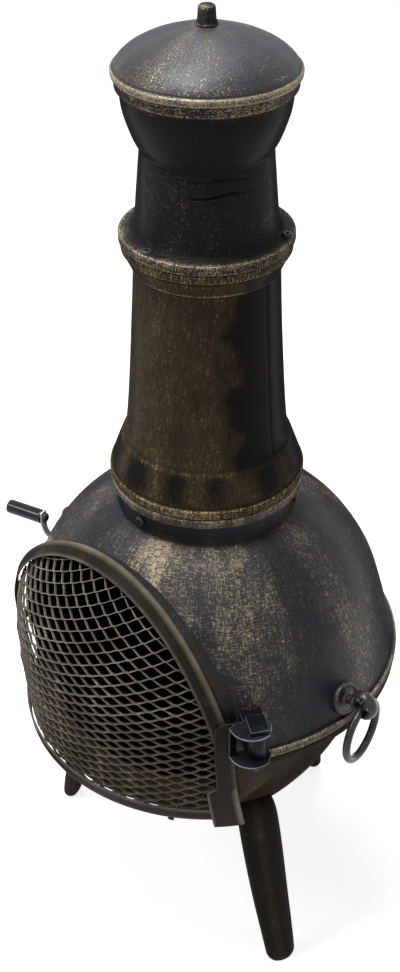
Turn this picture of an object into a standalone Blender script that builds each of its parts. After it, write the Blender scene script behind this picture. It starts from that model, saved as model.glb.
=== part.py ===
"""Cast-iron chiminea: bellied fire bowl on three legs, two-piece chimney,
lift-off lid, hinged spark-guard door of expanded metal, two carrying rings.

Metres, +Z up. The origin is on the ground under the chimney axis.
The door faces -Y. Azimuths are in degrees, 0 at the door and 90 at +X.
"""

import math

import bmesh
import bpy
from mathutils import Matrix, Vector

# Shared clearances and walls
GAP = 0.0003                 # gap left between pieces that touch
CAST_WALL = 0.005            # wall of the two bowl castings
CHIMNEY_WALL = 0.004         # wall of the chimney castings and the lid

# Fire bowl: two castings that meet at the rim
JOINT_HEIGHT = 0.2935        # plane where the two bowl castings meet
RIM_RADIUS = 0.1780
RIM_THICKNESS = 0.0085       # of each casting's rim
DOME_HEIGHT = 0.1895         # from the rim joint to the chimney joint
DOME_SETBACK = 0.0040        # from the rim's edge to the dome's foot
NECK_RADIUS = 0.0790
NECK_LENGTH = 0.0300         # from the foot of the neck to the chimney joint
BOWL_SETBACK = 0.0210        # from the rim's edge to the lower bowl's wall
BOWL_DEPTH = 0.2160
BOWL_FULLNESS = 1.5          # exponent of the bowl's section, 2 is an ellipse
BASE_RADIUS = 0.0450         # flat underside of the lower bowl
# Shares of the way out from the neck and down to the rim
DOME_FORM = ((0.0, 0.0), (0.200, 0.060), (0.366, 0.149), (0.564, 0.285),
             (0.756, 0.483), (0.879, 0.715), (1.0, 1.0))

# Chimney
FLANGE_OVERHANG = 0.0053     # past the neck
FLANGE_THICKNESS = 0.0088
SPIGOT_DEPTH = 0.0260
LOWER_CHIMNEY_LENGTH = 0.2185
TUBE_TOP_RADIUS = 0.0600
TUBE_FOOT_RADIUS = 0.0689
COLLAR_OVERHANG = 0.0107     # past the top of the lower tube
COLLAR_THICKNESS = 0.0085
COLLAR_SEAT_THICKNESS = 0.0075
UPPER_CHIMNEY_LENGTH = 0.1327
CUP_RADIUS = 0.0665
CUP_FOOT_RADIUS = 0.0520
CUP_HEIGHT = 0.0540
NECK_TAPER = 0.0048
SPIGOT_CLEARANCE = 0.0005

# Lid
LID_OVERHANG = 0.0060        # past the cup's wall
LID_HEIGHT = 0.0370
LID_SPIGOT_DEPTH = 0.0080
LID_SPIGOT_CLEARANCE = 0.0010
KNOB_RADIUS = 0.0084
KNOB_HEIGHT = 0.0150

# Mouth and its cast lip
MOUTH_RISE = 0.0065          # centre of the arch above the rim joint
LIP_RADIUS = 0.1370          # outside of the arch in front view
LIP_WALL = 0.0050
LIP_CORNER = 0.0180
MOUTH_DROP = 0.0535          # sill of the mouth below the rim joint
LIP_SETBACK = 0.0100         # from the door's face back to the lip's edge
RIM_NOTCH_GAP = 0.0030

# Door: dished frame, expanded-metal panel, plates
DOOR_STAND = 0.0017          # of the dish's belly past the rim's edge
DOOR_BELLY_RISE = 0.0315     # widest height of the dish above the rim joint
DOOR_RISE = 0.1580           # height of the dish's upper half section
DOOR_FALL = 0.3600           # height of the dish's lower half section
DOOR_ARCH_RISE = 0.0025      # of the door's arch centre over the mouth's
DOOR_OVERLAP = 0.0040        # of the frame's outer edge past the lip
DOOR_SKIRT = 0.0200          # of the frame below the mouth's sill
DOOR_BAND = 0.0090           # frame width in front view
DOOR_SILL_BAND = 0.0125
DOOR_SHEET = 0.0020
PLATE_WIDTH = 0.0160
PLATE_OVERHANG = 0.0015
LATCH_PLATE_LENGTH = 0.0750
PLATE_DROP = 0.0085          # how far the plates reach below the frame

MESH_LONG_WAY = 0.0320       # diamond length along the panel
MESH_SHORT_WAY = 0.0135      # diamond height
MESH_STRAND = 0.0020
MESH_MARGIN = 0.0055         # panel edge inside the frame's outer edge
MESH_SIDE_AZIMUTH = 49.5
MESH_SEAT = 0.0008           # from the back of the frame to the panel

# Hinge
PIN_STAND = 0.0073           # of the hinge axis past the dish's belly
PIN_REACH = 0.01608          # of the hinge axis past the frame's plate
PIN_BOLT_RADIUS = 0.0030
EAR_SHEET = 0.0018
EAR_RISE = 0.0160            # underside of the lower ear above the rim joint
EAR_SPACE = 0.0317           # between the undersides of the two ears
EAR_ROUND = 0.0195
BOLT_HEAD_SIDE = 0.0210
BOLT_HEAD_THICKNESS = 0.0045
BOLT_TAIL = 0.0159           # below the lower ear
LUG_RADIUS = 0.0085

# Handle
HANDLE_AZIMUTH = -35.5
STRIP_WIDTH = 0.0080
STRIP_SHEET = 0.0018
STRIP_CLEAR = 0.0042         # the strip leaves the dish this far past the frame
GRIP_RADIUS = 0.0062
GRIP_LENGTH = 0.0340
GRIP_DIRECTION = Vector((-0.958, -0.286, 0.0)).normalized()
HANDLE_RISE = 0.0290
HANDLE_SCREW_RADIUS = 0.0020

# Carrying rings
RING_MOUNT_RISE = 0.0245     # above the rim joint
ROSETTE_RADIUS = 0.0150
EYE_RADIUS = 0.0105
EYE_BAR_RADIUS = 0.0032
EYE_STAND = 0.0220           # eye centre from the dome's surface
RING_RADIUS = 0.0270
RING_BAR_RADIUS = 0.0035
RING_TWIST = 12.0
RING_HANG_GAP = 0.0005
RING_AZIMUTHS = {"right": 90.0, "left": -90.0}

# Legs
LEG_AZIMUTHS = {"right": 68.0, "left": -68.0, "back": 180.0}
LEG_TOP_WIDTH = 0.0410
LEG_FOOT_WIDTH = 0.0350
LEG_THICKNESS = 0.0140
LEG_FULLNESS = 2.8           # exponent of the leg's section, 2 is an ellipse
LEG_TOE_CUT = 0.0035         # taken off the round toe for a flat sole
LEG_INSET = 0.0410           # of the leg's top inside the bowl's wall
LEG_SPLAY = 0.0070           # of the foot's middle past the bowl's wall
LEG_BOLT_INSET = 0.0040
LEG_BOLT_GRIP = 0.0090

# Fasteners
SCREW_RADIUS = 0.0025
SCREW_HEAD_RADIUS = 0.0045
SCREW_HEAD_HEIGHT = 0.0030
NUT_RADIUS = 0.0058
NUT_HEIGHT = 0.0050
STUD_RADIUS = 0.0030
SCREW_AZIMUTHS = {"front": 0.0, "right": 120.0, "left": 240.0}
COLLAR_SCREW_INSET = 0.0057
COLLAR_SCREW_GRIP = 0.0050
NECK_SCREW_RISE = 0.0100     # above the foot of the neck
NECK_SCREW_LENGTH = 0.0085
BASE_STUD_AZIMUTHS = {"right": 24.0, "left": -24.0}
BASE_STUD_REACH = 0.0900
BOLT_STAND = 0.0005          # of a flat head or nut off the curved wall

# Facets
BOWL_STEPS = 36
TUBE_STEPS = 24
DOOR_STEPS = 72
DISH_STEPS = 16
SCREW_STEPS = 10
EDGE_ROUNDING = 0.0020

# Places that follow from the sizes above
RIM_TOP = JOINT_HEIGHT + RIM_THICKNESS
DOME_FOOT_RADIUS = RIM_RADIUS - DOME_SETBACK
BOWL_RADIUS = RIM_RADIUS - BOWL_SETBACK
FLANGE_JOINT_HEIGHT = JOINT_HEIGHT + DOME_HEIGHT
NECK_FOOT_HEIGHT = FLANGE_JOINT_HEIGHT - NECK_LENGTH
FLANGE_RADIUS = NECK_RADIUS + FLANGE_OVERHANG
COLLAR_JOINT_HEIGHT = FLANGE_JOINT_HEIGHT + LOWER_CHIMNEY_LENGTH
COLLAR_RADIUS = TUBE_TOP_RADIUS + COLLAR_OVERHANG
COLLAR_SCREW_REACH = COLLAR_RADIUS - COLLAR_SCREW_INSET
CHIMNEY_TOP_HEIGHT = COLLAR_JOINT_HEIGHT + UPPER_CHIMNEY_LENGTH
LID_RADIUS = CUP_RADIUS + LID_OVERHANG
LID_TOP_HEIGHT = CHIMNEY_TOP_HEIGHT + LID_HEIGHT
MOUTH_CENTRE = JOINT_HEIGHT + MOUTH_RISE
MOUTH_SILL = JOINT_HEIGHT - MOUTH_DROP
DOOR_RADIUS = RIM_RADIUS + DOOR_STAND
DOOR_BELLY_HEIGHT = JOINT_HEIGHT + DOOR_BELLY_RISE
DOOR_ARCH_CENTRE = MOUTH_CENTRE + DOOR_ARCH_RISE
DOOR_ARCH_RADIUS = LIP_RADIUS + DOOR_OVERLAP
DOOR_FOOT = MOUTH_SILL - DOOR_SKIRT
PLATE_EDGE = DOOR_ARCH_RADIUS + PLATE_OVERHANG
PIN_RADIUS = DOOR_RADIUS + PIN_STAND
PIN_AZIMUTH = math.degrees(math.asin((PLATE_EDGE + PIN_REACH) / PIN_RADIUS))
EAR_LOW = JOINT_HEIGHT + EAR_RISE
EAR_HIGH = EAR_LOW + EAR_SPACE
BOLT_LENGTH = EAR_SPACE + EAR_SHEET + 2.0 * GAP + BOLT_TAIL
HINGE_PLATE_TOP = EAR_HIGH + EAR_SHEET
LATCH_PLATE_TOP = DOOR_FOOT + LATCH_PLATE_LENGTH
RING_MOUNT_HEIGHT = JOINT_HEIGHT + RING_MOUNT_RISE
LEG_TOP_REACH = BOWL_RADIUS - LEG_INSET
LEG_FOOT_REACH = BOWL_RADIUS + LEG_SPLAY
LEG_BOLT_REACH = LEG_TOP_REACH - LEG_BOLT_INSET
NECK_SCREW_HEIGHT = NECK_FOOT_HEIGHT + NECK_SCREW_RISE

COLORS = {
    "cast_iron": ((0.035, 0.028, 0.022), 0.55, 0.75),
    "bronze_iron": ((0.075, 0.052, 0.033), 0.48, 0.8),
    "door_steel": ((0.085, 0.068, 0.050), 0.5, 0.8),
    "black_steel": ((0.012, 0.012, 0.014), 0.35, 0.7),
    "bright_steel": ((0.55, 0.52, 0.48), 0.3, 1.0),
    "grip_black": ((0.01, 0.012, 0.016), 0.2, 0.0),
    "zinc": ((0.35, 0.34, 0.32), 0.4, 1.0),
}


# ---------------------------------------------------------------- helpers

def clear_scene():
    for old in list(bpy.data.objects):
        bpy.data.objects.remove(old, do_unlink=True)


def collection(name):
    group = bpy.data.collections.new(name)
    bpy.context.scene.collection.children.link(group)
    return group


def material(name):
    found = bpy.data.materials.get(name)
    if found:
        return found
    color, roughness, metallic = COLORS[name]
    made = bpy.data.materials.new(name)
    made.use_nodes = True
    shader = made.node_tree.nodes["Principled BSDF"]
    shader.inputs["Base Color"].default_value = (*color, 1.0)
    shader.inputs["Roughness"].default_value = roughness
    shader.inputs["Metallic"].default_value = metallic
    made.diffuse_color = (*color, 1.0)
    return made


def polar(azimuth, radius, height):
    """Point at an azimuth in degrees, 0 at -Y and 90 at +X."""
    angle = math.radians(azimuth)
    return Vector((radius * math.sin(angle), -radius * math.cos(angle), height))


def adopt(thing, group):
    for old in list(thing.users_collection):
        old.objects.unlink(thing)
    group.objects.link(thing)


def keep(thing, name, surface, parent=None):
    """Name a finished piece, give it its material and file it."""
    thing.name = name
    thing.data.name = name
    thing.data.materials.clear()
    thing.data.materials.append(material(surface))
    adopt(thing, PIECES)
    if parent:
        bpy.context.view_layer.update()
        place = thing.matrix_basis.copy()
        thing.parent = parent
        thing.matrix_parent_inverse = parent.matrix_world.inverted()
        thing.matrix_basis = place
    return thing


def guide(thing, name):
    """File a cutter where it doesn't count as a piece."""
    thing.name = name
    adopt(thing, CUTTERS)
    thing.hide_render = True
    thing.display_type = 'WIRE'
    return thing


def apply_boolean(thing, tool, operation):
    change = thing.modifiers.new(operation.title() + " " + tool.name, 'BOOLEAN')
    change.operation = operation
    change.solver = 'EXACT'
    change.object = tool


def cut(thing, tool):
    apply_boolean(thing, tool, 'DIFFERENCE')


def join(thing, tool):
    apply_boolean(thing, tool, 'UNION')


def trim(thing, tool):
    apply_boolean(thing, tool, 'INTERSECT')


def to_mesh(thing):
    """Replace an object by the mesh it evaluates to, welded and closed."""
    bpy.context.view_layer.update()
    graph = bpy.context.evaluated_depsgraph_get()
    shape = bpy.data.meshes.new_from_object(thing.evaluated_get(graph))
    work = bmesh.new()
    work.from_mesh(shape)
    bmesh.ops.remove_doubles(work, verts=work.verts, dist=0.00001)
    bmesh.ops.recalc_face_normals(work, faces=work.faces)
    work.to_mesh(shape)
    work.free()
    made = bpy.data.objects.new(thing.name, shape)
    made.matrix_world = thing.matrix_world.copy()
    bpy.context.scene.collection.objects.link(made)
    bpy.data.objects.remove(thing, do_unlink=True)
    return made


def turned(name, profile, steps, ring=True):
    """Turn (radius, height) points about Z; they run down the outer side."""
    shape = bpy.data.meshes.new(name)
    points = [(radius, 0.0, height) for radius, height in profile]
    edges = [(i, i + 1) for i in range(len(points) - 1)]
    if ring:
        edges.append((len(points) - 1, 0))
    shape.from_pydata(points, edges, [])
    made = bpy.data.objects.new(name, shape)
    bpy.context.scene.collection.objects.link(made)
    turn = made.modifiers.new("Turn", 'SCREW')
    turn.angle = math.tau
    turn.steps = steps
    turn.render_steps = steps
    turn.use_merge_vertices = True
    turn.merge_threshold = 0.00001
    turn.use_smooth_shade = True
    return made


def flat_outline(name, loops, thickness):
    """Flat plate in its own X-Y plane, the first loop less the others."""
    line = bpy.data.curves.new(name, 'CURVE')
    line.dimensions = '2D'
    line.fill_mode = 'BOTH'
    line.extrude = thickness / 2.0
    for loop in loops:
        spline = line.splines.new('POLY')
        spline.points.add(len(loop) - 1)
        for point, (x, y) in zip(spline.points, loop):
            point.co = (x, y, 0.0, 1.0)
        spline.use_cyclic_u = True
    made = bpy.data.objects.new(name, line)
    bpy.context.scene.collection.objects.link(made)
    return made


def level_plate(name, loops, bottom, top):
    """Plate whose outline lies in X-Y, between two heights."""
    made = flat_outline(name, loops, top - bottom)
    made.location = (0.0, 0.0, (top + bottom) / 2.0)
    return to_mesh(made)


def front_prism(name, loops, near=-0.26, far=0.0):
    """Prism whose outline lies in X-Z, between two values of Y."""
    made = flat_outline(name, loops, far - near)
    made.rotation_euler = (math.pi / 2.0, 0.0, 0.0)
    made.location = (0.0, (near + far) / 2.0, 0.0)
    return to_mesh(made)


def rod(name, start, end, radius, sides=16):
    """Cylinder from one point to another."""
    start, end = Vector(start), Vector(end)
    along = end - start
    bpy.ops.mesh.primitive_cylinder_add(vertices=sides, radius=radius, depth=along.length)
    made = bpy.context.object
    made.name = name
    turn = along.to_track_quat('Z', 'Y').to_matrix().to_4x4()
    made.data.transform(Matrix.Translation((start + end) / 2.0) @ turn)
    return made


def box(name, low, high):
    low, high = Vector(low), Vector(high)
    bpy.ops.mesh.primitive_cube_add(size=1.0)
    made = bpy.context.object
    made.name = name
    size = high - low
    scale = Matrix.Diagonal((size.x, size.y, size.z, 1.0))
    made.data.transform(Matrix.Translation((low + high) / 2.0) @ scale)
    return made


def aim(thing, place, direction):
    """Put an object's origin at a place with its +Z along a direction."""
    thing.location = place
    thing.rotation_mode = 'QUATERNION'
    thing.rotation_quaternion = Vector(direction).to_track_quat('Z', 'Y')


def arc(center_x, center_y, radius, start, end, steps):
    """Points of a circular arc, angles in degrees."""
    points = []
    for i in range(steps + 1):
        angle = math.radians(start + (end - start) * i / steps)
        points.append((center_x + radius * math.cos(angle),
                       center_y + radius * math.sin(angle)))
    return points


def smooth(points, steps):
    """Catmull-Rom curve through the points."""
    line = []
    last = len(points) - 1
    for i in range(last):
        a = Vector(points[max(i - 1, 0)])
        b = Vector(points[i])
        c = Vector(points[i + 1])
        d = Vector(points[min(i + 2, last)])
        for k in range(steps):
            t = k / steps
            spot = 0.5 * (2.0 * b + (c - a) * t + (2.0 * a - 5.0 * b + 4.0 * c - d) * t * t
                          + (3.0 * b - a - 3.0 * c + d) * t ** 3)
            line.append((spot.x, spot.y))
    line.append(tuple(points[last]))
    return line


def offset(points, distance):
    """Move a profile sideways, toward the axis where it runs downward."""
    moved = []
    last = len(points) - 1
    for i in range(last + 1):
        before = Vector(points[max(i - 1, 0)])
        after = Vector(points[min(i + 1, last)])
        along = (after - before).normalized()
        side = Vector((along.y, -along.x))
        spot = Vector(points[i]) + side * distance
        moved.append((spot.x, spot.y))
    return moved


def rounded_edge(radius, top, bottom, rounding, steps=1):
    """Outer edge of a flange from its top face to its bottom face."""
    upper = arc(radius - rounding, top - rounding, rounding, 90.0, 0.0, steps)
    lower = arc(radius - rounding, bottom + rounding, rounding, 0.0, -90.0, steps)
    return upper + lower


def screw_body(name, head_radius, head_height, shank_radius, length, sides=SCREW_STEPS):
    """Pan-head screw: head on +Z, shank down to -length."""
    profile = [
        (0.0, head_height),
        (head_radius * 0.62, head_height * 0.93),
        (head_radius, head_height * 0.45),
        (head_radius, 0.0),
        (shank_radius, 0.0),
        (shank_radius, -length),
        (0.0, -length),
    ]
    return turned(name, profile, sides, ring=False)


def nut_body(name, bore, height=NUT_HEIGHT, radius=NUT_RADIUS):
    """Hexagon nut standing on its own X-Y plane."""
    corners = arc(0.0, 0.0, radius, 0.0, 300.0, 5)
    hole = arc(0.0, 0.0, bore, 0.0, 330.0, 11)
    made = flat_outline(name, [corners, hole], height)
    made = to_mesh(made)
    made.data.transform(Matrix.Translation((0.0, 0.0, height / 2.0)))
    return made


# ------------------------------------------------------- shared sections

def dome_outline():
    """Outside of the upper bowl from the foot of the neck to the rim."""
    reach = DOME_FOOT_RADIUS - NECK_RADIUS
    drop = NECK_FOOT_HEIGHT - RIM_TOP
    controls = []
    for out, down in DOME_FORM:
        controls.append((NECK_RADIUS + reach * out, NECK_FOOT_HEIGHT - drop * down))
    return smooth(controls, 2)


def bowl_outline():
    """Outside of the lower bowl from under its rim to its flat base."""
    top = JOINT_HEIGHT - RIM_THICKNESS
    points = []
    steps = 8
    for i in range(steps + 1):
        span = BOWL_RADIUS - BASE_RADIUS
        radius = BASE_RADIUS + span * math.cos(math.pi / 2.0 * i / steps)
        share = (radius / BOWL_RADIUS) ** BOWL_FULLNESS
        drop = BOWL_DEPTH * max(0.0, 1.0 - share) ** (1.0 / BOWL_FULLNESS)
        points.append((radius, top - drop))
    return points


def thinned(points):
    """Every other point of a section, with both its ends."""
    kept = points[::2]
    if kept[-1] != points[-1]:
        kept.append(points[-1])
    return kept


def section_between(section, top, bottom):
    """The part of a downward section between two heights, ends included."""
    kept = []
    for before, after in zip(section, section[1:]):
        if before[1] > top >= after[1]:
            kept.append(point_at(before, after, top))
        if bottom < after[1] < top:
            kept.append(after)
        if before[1] > bottom >= after[1]:
            kept.append(point_at(before, after, bottom))
    if kept[-1][1] > bottom:
        kept.append((kept[-1][0], bottom))
    return kept


def point_at(before, after, height):
    t = (before[1] - height) / (before[1] - after[1])
    return before[0] + (after[0] - before[0]) * t, height


def wall_frame(section, radius):
    """Height of a section at a radius, and its outward direction there."""
    for before, after in zip(section, section[1:]):
        if min(before[0], after[0]) <= radius <= max(before[0], after[0]):
            t = (radius - before[0]) / (after[0] - before[0])
            height = before[1] + (after[1] - before[1]) * t
            along = (Vector(after) - Vector(before)).normalized()
            return height, Vector((-along.y, along.x))
    raise ValueError("radius outside the section")


def dish_radius(height):
    """Radius of the door's face about the chimney axis at a height."""
    reach = DOOR_RISE if height > DOOR_BELLY_HEIGHT else DOOR_FALL
    share = (height - DOOR_BELLY_HEIGHT) / reach
    return DOOR_RADIUS * math.sqrt(max(0.0, 1.0 - share * share))


def dish_outward(height):
    """Outward direction of the dish at a height, as (radial, vertical)."""
    reach = DOOR_RISE if height > DOOR_BELLY_HEIGHT else DOOR_FALL
    slope = (height - DOOR_BELLY_HEIGHT) * (DOOR_RADIUS / reach) ** 2 / dish_radius(height)
    return Vector((1.0, slope)).normalized()


def dish_point(height, inward):
    """Point of the dish's section, set inward by a distance."""
    out = dish_outward(height)
    return dish_radius(height) - inward * out.x, height - inward * out.y


def dish_section(inward, top, bottom):
    """Section of the dish between two heights, set inward by a distance."""
    points = []
    for i in range(DISH_STEPS, 0, -1):
        turn = math.radians(76.0 * i / DISH_STEPS)
        points.append(DOOR_BELLY_HEIGHT + DOOR_RISE * math.sin(turn))
    for i in range(5):
        turn = math.radians(24.0 * i / 4)
        points.append(DOOR_BELLY_HEIGHT - DOOR_FALL * math.sin(turn))
    section = [dish_point(height, inward) for height in points]
    return section_between(section, top, bottom)


def arch(center, radius, foot, corner, steps=24):
    """Round-topped outline in front view, with rounded lower corners."""
    line = arc(0.0, center, radius, 0.0, 180.0, steps)
    line += arc(corner - radius, foot + corner, corner, 180.0, 270.0, 4)
    line += arc(radius - corner, foot + corner, corner, 270.0, 360.0, 4)
    return line


# ------------------------------------------------------------- castings

def lip_ring(name, section, top, bottom):
    """Cast lip round the mouth, from inside a wall's section to its edge."""
    outer = arch(MOUTH_CENTRE, LIP_RADIUS, MOUTH_SILL - LIP_WALL, LIP_CORNER)
    inner = arch(MOUTH_CENTRE, LIP_RADIUS - LIP_WALL, MOUTH_SILL, LIP_CORNER - LIP_WALL)
    lip = front_prism(name, [outer, inner])
    root = section_between(offset(section, CAST_WALL * 0.8), top, bottom)
    edge = dish_section(LIP_SETBACK, top, bottom)
    reach = turned(name + "_reach", edge + list(reversed(root)), BOWL_STEPS)
    trim(lip, guide(reach, name + "_reach"))
    return guide(lip, name)


def mouth_prism():
    inner = arch(MOUTH_CENTRE, LIP_RADIUS - LIP_WALL, MOUTH_SILL, LIP_CORNER - LIP_WALL)
    return guide(front_prism("mouth", [inner]), "mouth")


def rim_notch(name, inner):
    """Segment of a rim, outside a radius, that is left out behind the door."""
    half = PLATE_EDGE + RIM_NOTCH_GAP
    low = JOINT_HEIGHT - RIM_THICKNESS - 0.002
    high = RIM_TOP + 0.002
    outer = RIM_RADIUS + 0.010
    corners = [(inner, high), (outer, high), (outer, low), (inner, low)]
    ring = turned(name, corners, BOWL_STEPS)
    front = box(name + "_front", (-half, -0.25, low - 0.01), (half, -0.05, high + 0.01))
    trim(ring, guide(front, name + "_front"))
    return guide(ring, name)


def hinge_lug():
    """Cast lug between the hinge ears, from the dome out round the pin."""
    low = EAR_LOW + EAR_SHEET + GAP
    high = EAR_HIGH - GAP
    root, _ = radius_at(dome_outline(), high)
    root -= CAST_WALL * 0.6
    outline = arc(PIN_RADIUS, 0.0, LUG_RADIUS, -90.0, 90.0, 8)
    outline += [(root, LUG_RADIUS * 1.25), (root, -LUG_RADIUS * 1.25)]
    lug = level_plate("lug", [outline], low, high)
    lug.data.transform(Matrix.Rotation(math.radians(PIN_AZIMUTH - 90.0), 4, 'Z'))
    inside = offset(dome_outline(), CAST_WALL * 0.5)
    inside = [(0.0, inside[0][1])] + inside + [(0.0, inside[-1][1])]
    core = turned("lug_core", inside, BOWL_STEPS, ring=False)
    cut(lug, guide(core, "lug_core"))
    return guide(lug, "lug")


def radius_at(section, height):
    """Radius of a section at a height, and its outward direction there."""
    for before, after in zip(section, section[1:]):
        if after[1] <= height <= before[1]:
            along = (Vector(after) - Vector(before)).normalized()
            return point_at(before, after, height)[0], Vector((-along.y, along.x))
    raise ValueError("height outside the section")


def neck_screw_hole(azimuth, name):
    start = polar(azimuth, NECK_RADIUS + 0.004, NECK_SCREW_HEIGHT)
    end = polar(azimuth, NECK_RADIUS - NECK_SCREW_LENGTH - 0.001, NECK_SCREW_HEIGHT)
    return guide(rod(name, start, end, SCREW_RADIUS + GAP, SCREW_STEPS), name)


def collar_seat_height():
    """Spot face under the head of a collar screw."""
    return COLLAR_JOINT_HEIGHT + GAP + COLLAR_THICKNESS - 0.0006


def collar_screw_hole(azimuth, name):
    """Stepped drill: a spot face for the head, then the screw's hole."""
    face = SCREW_HEAD_RADIUS + 0.0005
    bore = SCREW_RADIUS + GAP
    seat = collar_seat_height()
    low = COLLAR_JOINT_HEIGHT - COLLAR_SCREW_GRIP - 0.001
    profile = [(0.0, seat + 0.006), (face, seat + 0.006), (face, seat), (bore, seat), (bore, low),
               (0.0, low)]
    drill = turned(name, profile, SCREW_STEPS, ring=False)
    drill.location = polar(azimuth, COLLAR_SCREW_REACH, 0.0)
    return guide(drill, name)


def make_upper_bowl():
    bore = NECK_RADIUS - CAST_WALL
    neck_top = FLANGE_JOINT_HEIGHT - GAP
    under = neck_top - FLANGE_THICKNESS
    rim_top = RIM_TOP
    rim_foot = JOINT_HEIGHT + GAP
    section = dome_outline()
    outer = rounded_edge(FLANGE_RADIUS, neck_top, under, EDGE_ROUNDING)
    outer.append((NECK_RADIUS, under - 0.0006))
    outer += section + rounded_edge(RIM_RADIUS, rim_top, rim_foot, EDGE_ROUNDING)
    inside = thinned(offset(section, CAST_WALL))[1:]
    inside.append((inside[-1][0], rim_foot))
    inside.insert(0, (bore, NECK_FOOT_HEIGHT - CAST_WALL))
    bowl = turned("upper_bowl", outer + list(reversed(inside)) + [(bore, neck_top)], BOWL_STEPS)
    lip_top = MOUTH_CENTRE + LIP_RADIUS + 0.002
    join(bowl, lip_ring("upper_lip", section, lip_top, rim_foot))
    cut(bowl, bpy.data.objects["mouth"])
    cut(bowl, bpy.data.objects["upper_rim_notch"])
    join(bowl, hinge_lug())
    pin = polar(PIN_AZIMUTH, PIN_RADIUS, 0.0)
    drill = rod("lug_bore", (pin.x, pin.y, EAR_LOW - 0.01), (pin.x, pin.y, EAR_HIGH + 0.01),
                PIN_BOLT_RADIUS + GAP)
    cut(bowl, guide(drill, "lug_bore"))
    for side in SCREW_AZIMUTHS:
        cut(bowl, bpy.data.objects["neck_hole_" + side])
    for side in RING_AZIMUTHS:
        cut(bowl, bpy.data.objects["ring_hole_" + side])
    return keep(bowl, "upper_bowl", "bronze_iron")


def make_lower_bowl():
    top = JOINT_HEIGHT - GAP
    wall = bowl_outline()
    rim = rounded_edge(RIM_RADIUS - 0.0008, top, wall[0][1], EDGE_ROUNDING)
    inside = [(BOWL_RADIUS - CAST_WALL, top)] + offset(wall, CAST_WALL)
    inside.append((0.0, wall[-1][1] + CAST_WALL))
    profile = list(reversed(inside)) + rim + wall + [(0.0, wall[-1][1])]
    bowl = turned("lower_bowl", profile, BOWL_STEPS, ring=False)
    sill_lip = lip_ring("lower_lip", [(BOWL_RADIUS, top + 0.001)] + wall, top,
                        MOUTH_SILL - LIP_WALL - 0.004)
    join(bowl, sill_lip)
    cut(bowl, bpy.data.objects["mouth"])
    cut(bowl, bpy.data.objects["lower_rim_notch"])
    for side in LEG_AZIMUTHS:
        cut(bowl, bpy.data.objects["leg_hole_" + side])
    for side in BASE_STUD_AZIMUTHS:
        cut(bowl, bpy.data.objects["stud_hole_" + side])
    return keep(bowl, "lower_bowl", "bronze_iron")


def make_lower_chimney():
    top = COLLAR_JOINT_HEIGHT - GAP
    foot = FLANGE_JOINT_HEIGHT + GAP
    flange_top = foot + FLANGE_THICKNESS
    spigot = NECK_RADIUS - CAST_WALL - SPIGOT_CLEARANCE
    rim_under = top - COLLAR_SEAT_THICKNESS
    rim = rounded_edge(COLLAR_RADIUS - 0.0017, top, rim_under, EDGE_ROUNDING)
    barrel = smooth([
        (TUBE_TOP_RADIUS + 0.0062, rim_under - 0.0030),
        (TUBE_TOP_RADIUS + 0.0012, rim_under - 0.0140),
        (TUBE_TOP_RADIUS, rim_under - 0.0220),
        ((TUBE_TOP_RADIUS + TUBE_FOOT_RADIUS) / 2.0 - 0.0004, (rim_under + flange_top) / 2.0),
        (TUBE_FOOT_RADIUS, flange_top + 0.0390),
        (TUBE_FOOT_RADIUS + 0.0050, flange_top + 0.0260),
        (FLANGE_RADIUS - EDGE_ROUNDING - 0.0010, flange_top + 0.0060),
    ], 2)
    flange = rounded_edge(FLANGE_RADIUS, flange_top, foot, EDGE_ROUNDING)
    inside = [(TUBE_TOP_RADIUS - CHIMNEY_WALL, top)]
    inside.append((TUBE_TOP_RADIUS - CHIMNEY_WALL, rim_under - 0.0220))
    inside.append((TUBE_FOOT_RADIUS - CHIMNEY_WALL, flange_top + 0.0390))
    inside.append((spigot - CHIMNEY_WALL, flange_top + 0.0140))
    inside.append((spigot - CHIMNEY_WALL, foot - SPIGOT_DEPTH))
    skirt = [(spigot, foot), (spigot, foot - SPIGOT_DEPTH)]
    profile = rim + barrel + flange + skirt + list(reversed(inside))
    chimney = turned("lower_chimney", profile, TUBE_STEPS)
    for side in SCREW_AZIMUTHS:
        cut(chimney, bpy.data.objects["neck_hole_" + side])
        cut(chimney, bpy.data.objects["collar_hole_" + side])
    return keep(chimney, "lower_chimney", "cast_iron")


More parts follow.
